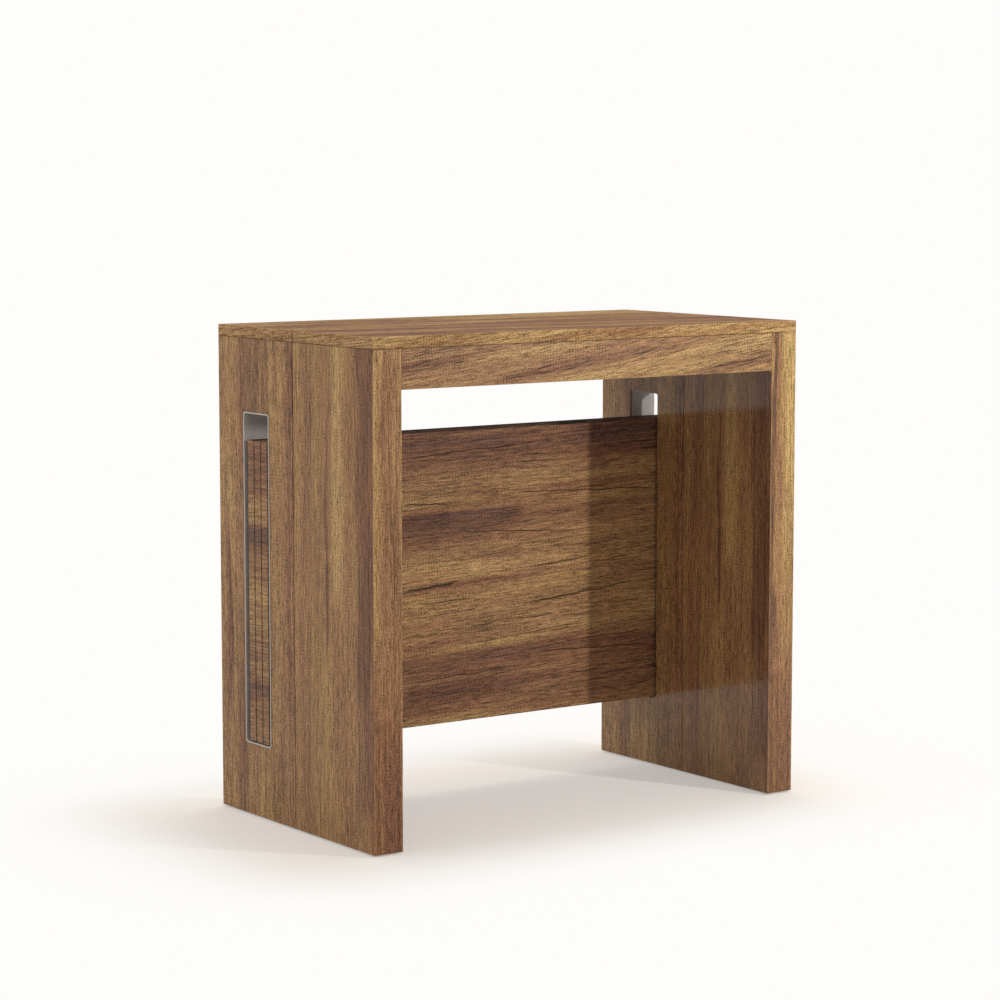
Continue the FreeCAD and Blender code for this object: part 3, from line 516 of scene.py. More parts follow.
# %% [markdown]
# ## Stripes, cracks and edges placed one by one
# Noise alone puts no streak where the real table has one. A cabinet maker picks where a dark or a
# golden streak of the sheet falls, and these helpers do the same: each stripe and each long crack
# is placed by its distances along and across the grain. Thin lines also run along the arrises,
# which are a board's edges, found by how deep a point lies inside the board's box.

# %% Stripes, cracks and edges
LOWEST, HIGHEST = -1.0, 1.0
Stripe = namedtuple("Stripe", "middle half strength start stop", defaults=(LOWEST, HIGHEST))
STRIPE_CORE, STRIPE_RIM = 0.4, 1.4
STRIPE_TAPER = 0.06
Crack = namedtuple("Crack", "start stop first last half")
CRACK_TAPER = 0.03
CRACK_WAVES, CRACK_DETAIL, CRACK_WIGGLE = 28.0, 2.0, 0.0011
ARRIS_WIDE, ARRIS_CORE = 0.0015, 0.3


def stripe_tone(r, along, line, stripes):
    """Lightness that stripes add to the wood, or take away from it."""
    tones = []
    for stripe in stripes:
        off = r.without_sign(r.less(line, stripe.middle))
        beside = r.fade(off, stripe.half * STRIPE_CORE, stripe.half * STRIPE_RIM, stripe.strength, 0.0)
        begun = r.fade(along, stripe.start - STRIPE_TAPER, stripe.start + STRIPE_TAPER)
        lasting = r.fall(along, stripe.stop - STRIPE_TAPER, stripe.stop + STRIPE_TAPER)
        tones.append(r.times(begun, lasting, beside))
    return r.add(*tones)


def placed_cracks(r, along, across, seed, cracks):
    """One in the cracks, nothing beside them; first and last are the heights of a crack's two ends."""
    wiggle = r.swing(r.noise(r.times(along, CRACK_WAVES), seed, 0.0, CRACK_DETAIL), CRACK_WIGGLE)
    shares = []
    for crack in cracks:
        rise = (crack.last - crack.first) / (crack.stop - crack.start)
        height = r.add(r.times(r.less(along, crack.start), rise), crack.first, wiggle)
        beside = r.fall(r.without_sign(r.add(across, height)), crack.half * CRACK_CORE, crack.half)
        begun = r.fade(along, crack.start, crack.start + CRACK_TAPER)
        lasting = r.fall(along, crack.stop - CRACK_TAPER, crack.stop)
        shares.append(r.times(begun, lasting, beside))
    return r.most(*shares)


def arris_line(r, place, low, high):
    """One along the edges of a board's box, fading to nothing beside them."""
    depths = []
    for part, least, most in zip(r.parts(place), low, high):
        depths.append(r.least(r.less(part, least), r.less(most, part)))
    x, y, z = depths
    off = r.least(r.most(x, y), r.most(y, z), r.most(z, x))
    return r.fall(off, ARRIS_WIDE * ARRIS_CORE, ARRIS_WIDE)


print("arris lines are", ARRIS_WIDE, "m wide")

# %% [markdown]
# ## The character of every board
# Each board has its way to lay the grain, a seed for its noise, and five settings: slant of the
# grain, cracks, saw marks, strength of the bands and lightness. A board that is cut from the same
# sheet as another starts from that one's settings and changes what differs, so that related boards
# stay related.

# %% Characters
Character = namedtuple("Character", "lay seed slant cracks sawn contrast tone")
LEG = Character("left leg", seed=1.7, slant=0.0, cracks=0.05, sawn=0.45, contrast=0.5, tone=0.03)
APRON = Character("board", seed=17.0, slant=0.11, cracks=0.35, sawn=0.8, contrast=0.55, tone=0.08)
TOP = Character("top", seed=11.3, slant=0.06, cracks=0.40, sawn=0.6, contrast=1.2, tone=0.02)
LEAF = Character("leaf", seed=18.9, slant=0.035, cracks=0.45, sawn=0.7, contrast=0.6, tone=0.0)
CHARACTERS = {
    "rear_leg_left": LEG,
    "front_leg_left": LEG._replace(seed=4.0, tone=0.04),
    # Painted light, in part: the right legs are set lighter, which brightens their shaded inner faces as
    # a fill lamp would.
    "rear_leg_right": LEG._replace(lay="right leg", tone=0.07),
    "front_leg_right": LEG._replace(lay="right leg", seed=4.0, cracks=0.15, contrast=0.6, tone=0.05),
    "rear_apron": APRON._replace(seed=15.1),
    "front_apron": APRON,
    "rear_top": TOP,
    "front_top": APRON._replace(lay="top", contrast=0.8, tone=-0.11),
    "leaf_front": LEAF,
    "leaf_middle": LEAF,
    "leaf_rear": LEAF,
}
print("boards with a character:", len(CHARACTERS))

# %% [markdown]
# ## Stripes of the legs
# The two side panels were cut from the same sheet, so the outside of the left legs and the inside
# of the right legs share their stripes. The seam between the rear and the front leg has a stripe on
# either side, and the narrow front faces have their own. A stripe with a strength below nothing is
# darker than the wood round it, one above is paler, and without a start or a stop it runs the whole
# length of its board.

# %% Stripes of the legs
SIDE_STRIPES = (
    Stripe(middle=0.593, half=0.010, strength=-0.16, start=0.18, stop=0.46),
    Stripe(middle=0.575, half=0.030, strength=0.05, start=0.45),
    Stripe(middle=0.450, half=0.025, strength=0.08),
    Stripe(middle=0.355, half=0.035, strength=0.03),
    Stripe(middle=0.310, half=0.003, strength=-0.14, start=0.25, stop=0.62),
    Stripe(middle=0.276, half=0.019, strength=0.20, start=0.36),
    Stripe(middle=0.198, half=0.028, strength=-0.11, start=0.05),
    Stripe(middle=0.196, half=0.026, strength=-0.07, start=0.30),
    Stripe(middle=0.204, half=0.016, strength=-0.09, start=0.22, stop=0.34),
)
REAR_LEG_STRIPES = SIDE_STRIPES + (Stripe(middle=0.402, half=0.004, strength=-0.12, start=0.48),)
FRONT_LEG_STRIPES = SIDE_STRIPES + (Stripe(middle=0.390, half=0.014, strength=0.06),)
FRONT_FACE_STRIPES = {
    "front_leg_left": (
        Stripe(middle=0.174, half=0.009, strength=0.13, start=0.32),
        Stripe(middle=0.146, half=0.016, strength=-0.06),
        Stripe(middle=0.155, half=0.030, strength=-0.06, stop=0.20),
    ),
    "front_leg_right": (
        Stripe(middle=0.172, half=0.005, strength=-0.17, start=0.24),
        Stripe(middle=0.145, half=0.014, strength=0.14, start=0.38),
        Stripe(middle=0.155, half=0.030, strength=-0.10, stop=0.22),
    ),
}
print("stripes on a rear leg:", len(REAR_LEG_STRIPES))

# %% [markdown]
# ## Stripes of the aprons, the tops and the leaves
# The front apron and the edge of the top above it were cut from one sheet too, and share their
# stripes. The rear ones aren't seen in the picture and take the same stripes, moved back by the
# depth of the table. The leaf that stands behind the front half shows the widest piece of wood, from
# a dark band under its upper edge down to a dark one above its lower edge.

# %% Stripes of the aprons, the tops and the leaves
TABLE_DEEP = 0.44
FRONT_STRIPES = (
    Stripe(middle=-0.971, half=0.007, strength=-0.12, stop=-0.22),
    Stripe(middle=-0.929, half=0.008, strength=-0.12, start=-0.21, stop=0.03),
    Stripe(middle=-0.929, half=0.005, strength=-0.07, start=0.03, stop=0.20),
    Stripe(middle=-0.886, half=0.007, strength=-0.12, start=0.20),
    Stripe(middle=-0.961, half=0.010, strength=0.09, start=-0.22, stop=0.02),
    Stripe(middle=-0.915, half=0.011, strength=0.11, start=0.16),
    Stripe(middle=-0.990, half=0.030, strength=-0.03, stop=-0.15),
)
REAR_STRIPES = tuple(stripe._replace(middle=stripe.middle + TABLE_DEEP) for stripe in FRONT_STRIPES)
LEAF_STRIPES = (
    Stripe(middle=-0.560, half=0.040, strength=-0.08),
    # Painted shade: this darker band over the upper right of the leaf stands in for the shade under the
    # apron and the top.
    Stripe(middle=-0.550, half=0.030, strength=-0.13, start=0.12),
    Stripe(middle=-0.487, half=0.012, strength=0.11, start=-0.33, stop=-0.10),
    Stripe(middle=-0.440, half=0.020, strength=0.10, start=0.03, stop=0.40),
    Stripe(middle=-0.335, half=0.080, strength=0.06),
    Stripe(middle=-0.345, half=0.005, strength=-0.11, stop=0.0),
    Stripe(middle=-0.255, half=0.020, strength=0.03),
    Stripe(middle=-0.190, half=0.045, strength=-0.08),
)
STRIPES = {
    "rear_leg_left": REAR_LEG_STRIPES,
    "front_leg_left": FRONT_LEG_STRIPES,
    "rear_leg_right": REAR_LEG_STRIPES,
    "front_leg_right": FRONT_LEG_STRIPES,
    "rear_apron": REAR_STRIPES,
    "front_apron": FRONT_STRIPES,
    "rear_top": REAR_STRIPES,
    "front_top": FRONT_STRIPES,
    "leaf_front": LEAF_STRIPES,
    "leaf_middle": LEAF_STRIPES,
    "leaf_rear": LEAF_STRIPES,
}
print("stripes on a leaf:", len(LEAF_STRIPES))

# %% [markdown]
# ## Long cracks of the leaves and the front apron
# A few cracks in the leaf and in the front apron are so long that the eye looks for them. They are
# placed one by one, as straight lines with a slight wiggle, and the rows of noise fill in the rest.

# %% Long cracks
LEAF_CRACKS = (
    Crack(start=-0.240, stop=-0.130, first=0.4745, last=0.4700, half=0.0015),
    Crack(start=-0.007, stop=0.275, first=0.4810, last=0.4710, half=0.0014),
    Crack(start=-0.240, stop=-0.110, first=0.3345, last=0.3450, half=0.0030),
    Crack(start=0.013, stop=0.140, first=0.3560, last=0.3660, half=0.0016),
    Crack(start=0.163, stop=0.225, first=0.3570, last=0.3610, half=0.0016),
    Crack(start=0.003, stop=0.225, first=0.2980, last=0.3160, half=0.0016),
    Crack(start=0.038, stop=0.270, first=0.2175, last=0.2080, half=0.0015),
    Crack(start=-0.235, stop=-0.015, first=0.1880, last=0.1970, half=0.0014),
    Crack(start=-0.127, stop=0.085, first=0.4240, last=0.4130, half=0.0013),
)
APRON_CRACKS = (
    Crack(start=-0.343, stop=-0.280, first=0.934, last=0.945, half=0.0014),
    Crack(start=-0.275, stop=-0.220, first=0.935, last=0.941, half=0.0013),
    Crack(start=-0.180, stop=-0.110, first=0.910, last=0.915, half=0.0013),
    Crack(start=-0.074, stop=-0.020, first=0.916, last=0.926, half=0.0018),
    Crack(start=-0.125, stop=-0.070, first=0.914, last=0.918, half=0.0014),
    Crack(start=0.055, stop=0.130, first=0.935, last=0.946, half=0.0014),
    Crack(start=0.135, stop=0.182, first=0.936, last=0.943, half=0.0013),
    Crack(start=0.210, stop=0.280, first=0.912, last=0.916, half=0.0014),
    Crack(start=0.250, stop=0.360, first=0.914, last=0.928, half=0.0014),
)
PLACED_CRACKS = {
    "leaf_front": LEAF_CRACKS,
    "leaf_middle": LEAF_CRACKS,
    "leaf_rear": LEAF_CRACKS,
    "front_apron": APRON_CRACKS,
}
print("long cracks on the leaf and the apron:", len(LEAF_CRACKS), len(APRON_CRACKS))

# %% [markdown]
# ## Painted edge highlights and dark joints
# Where a board meets its neighbour, the joint between them is dark. A free edge catches the light, and
# that highlight is painted on as a pale line. Both could be painted on, but the height of a point and its
# distance from the seam between the two halves tell them apart: the legs and aprons are free below
# the top, the tops at their upper edges, and the leaves nowhere. Each pair of heights says where the
# free edges of a board begin and end.

# %% Painted edge highlights and dark joints
JOINT_SHARE, EDGE_HIGHLIGHT_SHARE = 0.4, 0.3
SEAM_REACH = 0.004
SEAM_SHARES = {"left leg": 0.25, "right leg": 0.25, "board": 0.0, "leaf": 0.0, "top": 0.7}
FREE_EDGE_HEIGHTS = {
    "left leg": (0.0, 0.735),
    "right leg": (0.0, 0.735),
    "board": (0.0, 0.70),
    "leaf": (0.0, 0.0),
    "top": (0.75, 1.0),
}


def edge_shares(r, board, lay, place):
    """Shares of the painted pale highlight and of the dark joint colour along a board's arrises."""
    edge = arris_line(r, place, *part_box(board))
    deep, height = r.parts(place)[DEPTHWAYS:]
    lowest, highest = FREE_EDGE_HEIGHTS[lay]
    seam = r.under(r.without_sign(deep), SEAM_REACH)
    free = r.times(r.over(height, lowest), r.under(height, highest), r.less(FULL, seam))
    # Painted highlight: a pale line along the free edges stands in for the light that the arrises catch.
    painted_highlight = r.times(edge, free, EDGE_HIGHLIGHT_SHARE)
    dark = r.times(edge, r.less(FULL, free), r.blend(seam, JOINT_SHARE, SEAM_SHARES[lay]))
    return painted_highlight, dark


print("ways to lay the grain:", len(FREE_EDGE_HEIGHTS))

# %% [markdown]
# ## Stripes on the faces, and the stave of the leaf
# The listed stripes slant with the grain and wobble a little, as a knife-cut sheet does. The
# leaves also show a dark stave, as if a strip came from another tree: it begins at a sharp level
# edge, fades away downwards, and ends softly near the middle of the leaf. A stripe is soft on both
# sides, so the stave has a recipe of its own.

# %% Stripes on the faces, and the stave
WOBBLE = Figure(along=5.0, across=25.0, shift=0.0, reach=0.006, detail=2.0)
STRIPE_STRENGTH = 1.4
STAVE_EDGE, STAVE_FADE = -0.457, 0.065
STAVE_STOP, STAVE_SOFT = 0.02, 0.06
STAVE_TONE = -0.23


def face_stripes(r, board, normal, along, across):
    """Lightness from the stripes of a board, with those of its front face in their place there."""
    character = CHARACTERS[board]
    wobble = swung(r, along, across, character.seed, WOBBLE)
    line = r.add(across, r.times(along, character.slant), wobble)
    tone = stripe_tone(r, along, line, STRIPES[board])
    if board in FRONT_FACE_STRIPES:
        front_tone = stripe_tone(r, along, line, FRONT_FACE_STRIPES[board])
        tone = r.blend(facing(r, normal, DEPTHWAYS), tone, front_tone)
    return r.times(tone, STRIPE_STRENGTH)


def stave_tone(r, along, across):
    """Lightness that the stave takes away from a leaf."""
    past = r.less(across, STAVE_EDGE)
    tone = r.times(r.over(past, 0.0), r.fade(past, 0.0, STAVE_FADE, STAVE_TONE, 0.0))
    return r.times(tone, r.fall(along, STAVE_STOP - STAVE_SOFT, STAVE_STOP))


print("the stave fades over", STAVE_FADE, "m")

# %% [markdown]
# ## What differs from face to face
# The narrow faces of the tops were glued on from another sheet: they are lighter than the upper side,
# and the two at the ends are calmer and a little bluer. The front and rear faces of the right legs
# are more golden. Each face could have its own material, but the direction that a face looks in
# tells them apart, so that one material can dress the whole board.

# %% Differences from face to face
NO_TINT = (FULL, FULL, FULL, FULL)
TOP_TINT = (0.96, 1.0, 0.95, FULL)
END_TINT = (1.0, 1.02, 1.14, FULL)
RIGHT_FRONT_TINT = (0.98, 0.99, 0.87, FULL)
STRIP_TONE = 0.20
END_TONE, END_CONTRAST, END_CRACKS = 0.04, 0.55, 0.2
CRACKS_IN_STRIPES = -3.6


def face_tint(r, lay, normal):
    """Tint that multiplies the wood's colour."""
    if lay == "top":
        tint = r.mix(facing(r, normal, UPWARDS), NO_TINT, TOP_TINT)
        return r.mix(facing(r, normal, SIDEWAYS), tint, END_TINT)
    if lay == "right leg":
        return r.mix(facing(r, normal, DEPTHWAYS), NO_TINT, RIGHT_FRONT_TINT)
    return NO_TINT


def face_cracks(r, lay, normal, cracks, stripes):
    """Number of cracks: more in dark stripes, few on the ends of tops and leaves."""
    cracks = r.add(r.most(r.times(stripes, CRACKS_IN_STRIPES), 0.0), cracks)
    if lay in ("top", "leaf"):
        cracks = r.times(cracks, r.blend(facing(r, normal, SIDEWAYS), FULL, END_CRACKS))
    return cracks


def strip_settings(r, normal, contrast, tone):
    """Contrast and lightness of a top, with those of its narrow faces and its ends."""
    end = facing(r, normal, SIDEWAYS)
    tone = r.add(r.blend(facing(r, normal, UPWARDS), STRIP_TONE, tone), r.times(end, END_TONE))
    return r.blend(end, contrast, END_CONTRAST), tone


print("tint of a top:", TOP_TINT)

# %% [markdown]
# ## Dressing the boards
# The varnish is a thin satin coat. The left legs and the tops look nearly matt from the camera, and
# the inside of the right legs mirrors the leaf, so each way to lay the grain has its own roughness
# and specular level. The long edges of the leaves are matt and darkened with painted shade, which
# stands in for the shadow on their narrow tops in the slot. Every board gets a material of its own,
# because its seed, stripes and edges are its own, but all of them are built round the one wood group.

# %% Dress every board
Varnish = namedtuple("Varnish", "roughness specular")
VARNISH = {
    "left leg": Varnish(roughness=0.30, specular=0.10),
    "right leg": Varnish(roughness=0.11, specular=0.24),
    "board": Varnish(roughness=0.30, specular=0.12),
    "leaf": Varnish(roughness=0.30, specular=0.12),
    "top": Varnish(roughness=0.60, specular=0.010),
}
# Painted shade on the leaves' long edges, strongest on the rear leaf.
LONG_EDGE_PAINTED_SHADE = {"leaf_front": 0.35, "leaf_middle": 0.35, "leaf_rear": 0.9}
LONG_EDGE_MATT = 0.6
GRAIN_RELIEF, GRAIN_DEPTH = 0.5, 0.0004
PLACED_CRACK_SHARE = 0.9
JOINT_DARK = srgb(64, 45, 35)
PAINTED_EDGE_HIGHLIGHT = srgb(206, 172, 124)


def wood_finish(board):
    """Make one board's wood."""
    lay, seed, slant, cracks, sawn, contrast, tone = CHARACTERS[board]
    roughness, specular = VARNISH[lay]
    material, r, shader = new_material(f"wood_{board}")
    coordinate = r.node("ShaderNodeTexCoord")
    place, normal = coordinate.outputs["Object"], coordinate.outputs["Normal"]
    along, across = grain_ways(r, lay, place, normal)
    painted_highlight, dark = edge_shares(r, board, lay, place)
    stripes = face_stripes(r, board, normal, along, across)
    cracks = face_cracks(r, lay, normal, cracks, stripes)
    if lay == "top":
        contrast, tone = strip_settings(r, normal, contrast, tone)
    if lay == "leaf":
        stripes = r.add(stripes, stave_tone(r, along, across))
        # Painted shade: the long edges, seen as narrow tops in the slot, are darkened in place of their
        # shadow; they are also made matt.
        shaded_long_edge = facing(r, normal, UPWARDS)
        dark = r.most(dark, r.times(shaded_long_edge, LONG_EDGE_PAINTED_SHADE[board]))
        roughness = r.add(r.times(shaded_long_edge, LONG_EDGE_MATT), roughness)

    settings = (along, across, seed, slant, cracks, sawn, contrast, r.add(stripes, tone))
    wood = r.node("ShaderNodeGroup", node_tree=WOOD)
    for socket, setting in zip(wood.inputs, settings):
        r.feed(socket, setting)
    colour = r.mix(FULL, wood.outputs["Colour"], face_tint(r, lay, normal), "MULTIPLY")
    if board in PLACED_CRACKS:
        split = placed_cracks(r, along, across, seed, PLACED_CRACKS[board])
        colour = r.mix(r.times(split, PLACED_CRACK_SHARE), colour, CRACK_DARK)
    # Painted highlight on the free arrises.
    colour = r.mix(painted_highlight, colour, PAINTED_EDGE_HIGHLIGHT)
    r.feed(shader.inputs["Base Color"], r.mix(dark, colour, JOINT_DARK))
    r.feed(shader.inputs["Roughness"], r.add(wood.outputs["Gloss"], roughness))
    r.feed(shader.inputs["Normal"], r.relief(wood.outputs["Height"], GRAIN_RELIEF, GRAIN_DEPTH))
    shader.inputs["Specular IOR Level"].default_value = specular
    return material


def dress(node_name, material):
    """Put a material on a CAD node in place of its plain one."""
    for slot in nodes[node_name].material_slots:
        slot.material = material


for board in CHARACTERS:
    dress(board, wood_finish(board))
print("boards dressed:", len(CHARACTERS))

# %% [markdown]
# ## Metal and plastic
# The rails are anodised aluminium drawn along their length, the crossbars black painted steel, the
# screws bright zinc, the sliders natural nylon, the stops and glides black plastic, and the dowels
# beech. Each has an uneven colour and gloss and faint marks in its surface. They differ only in
# colour, gloss and the direction of the marks, so one helper makes them all: noise with its own
# number of waves in a metre on each axis drives colour, gloss and relief.

# %% Metal and plastic finishes
METAL, NOT_METAL = 1.0, 0.0
DRAWN = (500.0, 6.0, 500.0)
EVEN = (220.0, 220.0, 220.0)
TURNED = (60.0, 60.0, 900.0)
CLOUDY = (14.0, 14.0, 14.0)
MARK_DETAIL, MARK_ROUGHNESS = 3.0, 0.6
CLOUD_DETAIL = 2.0
MARK_SHARE, CLOUD_SHARE = 0.6, 0.4
MARK_GLOSS, CLOUD_GLOSS = 0.06, 0.05
MARK_RELIEF, MARK_DEPTH = 0.25, 0.0001
DULLED = 0.80


def surface_noise(r, waves, detail, roughness=0.5):
    """Noise on a piece with its own number of waves in a metre on each axis."""
    place = r.parts(r.node("ShaderNodeTexCoord").outputs["Object"])
    scaled = (r.times(part, wave) for part, wave in zip(place, waves))
    return r.noise(*scaled, detail, roughness)


def plain_finish(name, colour, metallic, waves, roughness):
    """Make a metal or a plastic."""
    material, r, shader = new_material(name)
    marks = surface_noise(r, waves, MARK_DETAIL, MARK_ROUGHNESS)
    clouds = surface_noise(r, CLOUDY, CLOUD_DETAIL)
    red, green, blue = (channel * DULLED for channel in colour[:3])
    shade = r.add(r.times(marks, MARK_SHARE), r.times(clouds, CLOUD_SHARE))
    shade = r.fade(shade, NOISE_LOW, NOISE_HIGH)
    gloss = r.add(r.swing(clouds, CLOUD_GLOSS), r.swing(marks, MARK_GLOSS), roughness)
    r.feed(shader.inputs["Base Color"], r.mix(shade, (red, green, blue, FULL), colour))
    r.feed(shader.inputs["Roughness"], gloss)
    r.feed(shader.inputs["Normal"], r.relief(marks, MARK_RELIEF, MARK_DEPTH))
    shader.inputs["Metallic"].default_value = metallic
    return material


FINISH_OF_SLOT = {
    "rail_aluminium": plain_finish("anodised_rail", srgb(203, 204, 206), METAL, DRAWN, roughness=0.34),
    "black_steel": plain_finish("black_steel", srgb(36, 36, 37), NOT_METAL, EVEN, roughness=0.42),
    "zinc_steel": plain_finish("zinc_steel", srgb(194, 196, 194), METAL, EVEN, roughness=0.30),
    "nylon": plain_finish("nylon", srgb(225, 221, 208), NOT_METAL, EVEN, roughness=0.45),
    "dark_plastic": plain_finish("dark_plastic", srgb(31, 31, 32), NOT_METAL, EVEN, roughness=0.50),
    "dowel_wood": plain_finish("beech_dowel", srgb(205, 169, 125), NOT_METAL, TURNED, roughness=0.60),
}
for subpart in frame["record"]["subparts"]:
    finish = FINISH_OF_SLOT.get(subpart["material_slot"])
    if finish:
        dress(subpart["node"], finish)
print("plain finishes:", len(FINISH_OF_SLOT))

# %% [markdown]
# ## The left slot sleeve: box and corners
# A pressed sheet sleeve lines each slot in the rear legs and ends outside in a thin rolled rim. It
# could be cut out of a solid block, but a sheet is quicker from a box as large as the clear opening:
# the two ends are taken away and the four long corners rounded. Its normals are then flipped, because
# the side to be seen is the inside.

# %% Box and corners of the left sleeve
RIM_WIDE = 0.002
CORNER_ROUND, CORNER_STEPS = 0.004, 6
NEAR = 1e-5
sleeve_low, sleeve_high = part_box("slot_sleeve_left")
sleeve_middle = [(low + high) / 2 for low, high in zip(sleeve_low, sleeve_high)]
sleeve_size = [high - low for low, high in zip(sleeve_low, sleeve_high)]
open_size = [sleeve_size[SIDEWAYS]] + [size - 2 * RIM_WIDE for size in sleeve_size[DEPTHWAYS:]]


def pick(mesh_object, wanted):
    """In edit mode, select only the edges whose two ends pass a test."""
    bpy.ops.mesh.select_mode(type="EDGE")
    bpy.ops.mesh.select_all(action="DESELECT")
    bpy.ops.object.mode_set(mode="OBJECT")
    mesh = mesh_object.data
    for edge in mesh.edges:
        first, second = (mesh.vertices[number].co for number in edge.vertices)
        edge.select = wanted(first, second)
    bpy.ops.object.mode_set(mode="EDIT")


bpy.ops.object.select_all(action="DESELECT")
bpy.ops.mesh.primitive_cube_add(size=1.0, location=sleeve_middle, scale=open_size)
sleeve = bpy.context.object
sleeve.name = "sleeve_left"
bpy.ops.object.transform_apply(location=True, rotation=True, scale=True)
bpy.ops.object.mode_set(mode="EDIT")
bpy.ops.mesh.select_mode(type="FACE")
bpy.ops.mesh.select_all(action="DESELECT")
bpy.ops.object.mode_set(mode="OBJECT")
for face in sleeve.data.polygons:
    face.select = abs(face.normal.x) > FACING
bpy.ops.object.mode_set(mode="EDIT")
bpy.ops.mesh.delete(type="FACE")
pick(sleeve, lambda first, second: abs(first.x - second.x) > NEAR)
bpy.ops.mesh.bevel(offset=CORNER_ROUND, segments=CORNER_STEPS, affect="EDGES")
bpy.ops.mesh.select_all(action="SELECT")
bpy.ops.mesh.flip_normals()
bpy.ops.object.mode_set(mode="OBJECT")
print("open sheet has", len(sleeve.data.polygons), "faces")

# %% [markdown]
# ## The left slot sleeve: rim and thickness
# The rim is pulled out of the open border on the outer face of the leg: the border's edges are
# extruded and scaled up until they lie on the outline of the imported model's sleeve. A Solidify
# modifier then gives the sheet its thickness, and a Bevel softens the sharp edges of the rim, as a
# press leaves them.

# %% Rim and thickness of the left sleeve
SHEET = 0.0011
BEHIND_FACES = -1.0
RIM_SOFT, RIM_STEPS = 0.0004, 3
SHARP_ANGLE, SMOOTH_ANGLE = math.radians(50), math.radians(40)
border = sleeve_low[SIDEWAYS] + NEAR
rim_scale = [FULL] + [(size + 2 * RIM_WIDE) / size for size in open_size[DEPTHWAYS:]]


def harden(mesh_object, kind, **settings):
    """Add a modifier and apply it at once."""
    modifier = mesh_object.modifiers.new(kind.lower(), kind)
    for name, setting in settings.items():
        setattr(modifier, name, setting)
    bpy.ops.object.modifier_apply(modifier=modifier.name)


bpy.ops.object.mode_set(mode="EDIT")
pick(sleeve, lambda first, second: max(first.x, second.x) < border)
bpy.ops.mesh.extrude_edges_move()
bpy.ops.transform.resize(value=rim_scale, center_override=sleeve_middle)
bpy.ops.object.mode_set(mode="OBJECT")
harden(sleeve, "SOLIDIFY", thickness=SHEET, offset=BEHIND_FACES, use_even_offset=True)
harden(sleeve, "BEVEL", width=RIM_SOFT, segments=RIM_STEPS, limit_method="ANGLE", angle_limit=SHARP_ANGLE)
bpy.ops.object.shade_smooth_by_angle(angle=SMOOTH_ANGLE)
print("left sleeve has", len(sleeve.data.polygons), "faces")
print("its box:", [round(size, DIGITS) for size in sleeve.dimensions])
print("box of the packed one:", sizes(sleeve_low, sleeve_high))

# %% [markdown]
# ## The right slot sleeve
# The right sleeve could be mirrored, but a mirror turns a mesh inside out. A sleeve is alike front
# and rear, so half a turn about an upright line through the middle of the table brings a copy to the
# right leg with its faces still the right way round.

# %% Copy the sleeve
bpy.ops.object.select_all(action="DESELECT")
sleeve.select_set(True)
bpy.context.view_layer.objects.active = sleeve
bpy.ops.object.duplicate(linked=False)
right_sleeve = bpy.context.object
right_sleeve.name = "sleeve_right"
turn_centre = (0.0, sleeve_middle[DEPTHWAYS], 0.0)
bpy.ops.transform.rotate(value=math.pi, orient_axis="Z", center_override=turn_centre)
bpy.ops.object.transform_apply(location=True, rotation=True, scale=True)
right_ends = [corner[SIDEWAYS] for corner in right_sleeve.bound_box]
print("right sleeve spans x", round(min(right_ends), DIGITS), "to", round(max(right_ends), DIGITS))

# %% [markdown]
# ## The finish of the sleeves
# The sleeves look like satin metal: a bright rim outside and a duller lining inside. The lining's
# grey is darker than the rim's, as painted shade for the inside of the slot. Two materials would
# need the mesh split between them. The rim is all that stands proud of the leg's face, so one finish
# can change there by the distance from the middle of the table.

# %% Finish the sleeves
SLEEVE_RIM = srgb(196, 190, 183)
# Painted shade: the lining's darker grey stands in for the shade inside the slot.
SLEEVE_LINING_SHADE = srgb(170, 164, 157)
RIM_ROUGHNESS, INSIDE_ROUGHNESS = 0.35, 0.55
LEG_FACE = 0.400
RIM_BEFORE, RIM_AFTER = 0.0006, 0.0002
BRUSHED = (30.0, 900.0, 60.0)
SMUDGED = (20.0, 20.0, 20.0)
BRUSH_SHADE, SMUDGE_SHADE, SMUDGE_GLOSS = 0.06, 0.05, 0.06
BRUSH_RELIEF = 0.2
SLIGHTLY_METAL = 0.1


def satin_sleeve():
    """Make the satin metal of the sleeves."""
    material, r, shader = new_material("satin_sleeve")
    brushed = surface_noise(r, BRUSHED, MARK_DETAIL, MARK_ROUGHNESS)
    smudge = surface_noise(r, SMUDGED, CLOUD_DETAIL)
    place = r.parts(r.node("ShaderNodeTexCoord").outputs["Object"])
    from_middle = r.without_sign(place[SIDEWAYS])
    at_rim = r.fade(from_middle, LEG_FACE - RIM_BEFORE, LEG_FACE + RIM_AFTER)
    grey_with_shade = r.mix(at_rim, SLEEVE_LINING_SHADE, SLEEVE_RIM)
    shade = r.add(r.swing(brushed, BRUSH_SHADE), r.swing(smudge, SMUDGE_SHADE), FULL)
    roughness = r.blend(at_rim, INSIDE_ROUGHNESS, RIM_ROUGHNESS)
    r.feed(shader.inputs["Base Color"], r.mix(FULL, grey_with_shade, shade, "MULTIPLY"))
    r.feed(shader.inputs["Roughness"], r.add(roughness, r.swing(smudge, SMUDGE_GLOSS)))
    r.feed(shader.inputs["Normal"], r.relief(brushed, BRUSH_RELIEF, MARK_DEPTH))
    shader.inputs["Metallic"].default_value = SLIGHTLY_METAL
    return material


sleeve_finish = satin_sleeve()
for piece, node in ((sleeve, "slot_sleeve_left"), (right_sleeve, "slot_sleeve_right")):
    piece.data.materials.clear()
    piece.data.materials.append(sleeve_finish)
    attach(piece, "rear_half")
    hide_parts(node)
print("sleeve finish has", len(sleeve_finish.node_tree.nodes), "nodes")

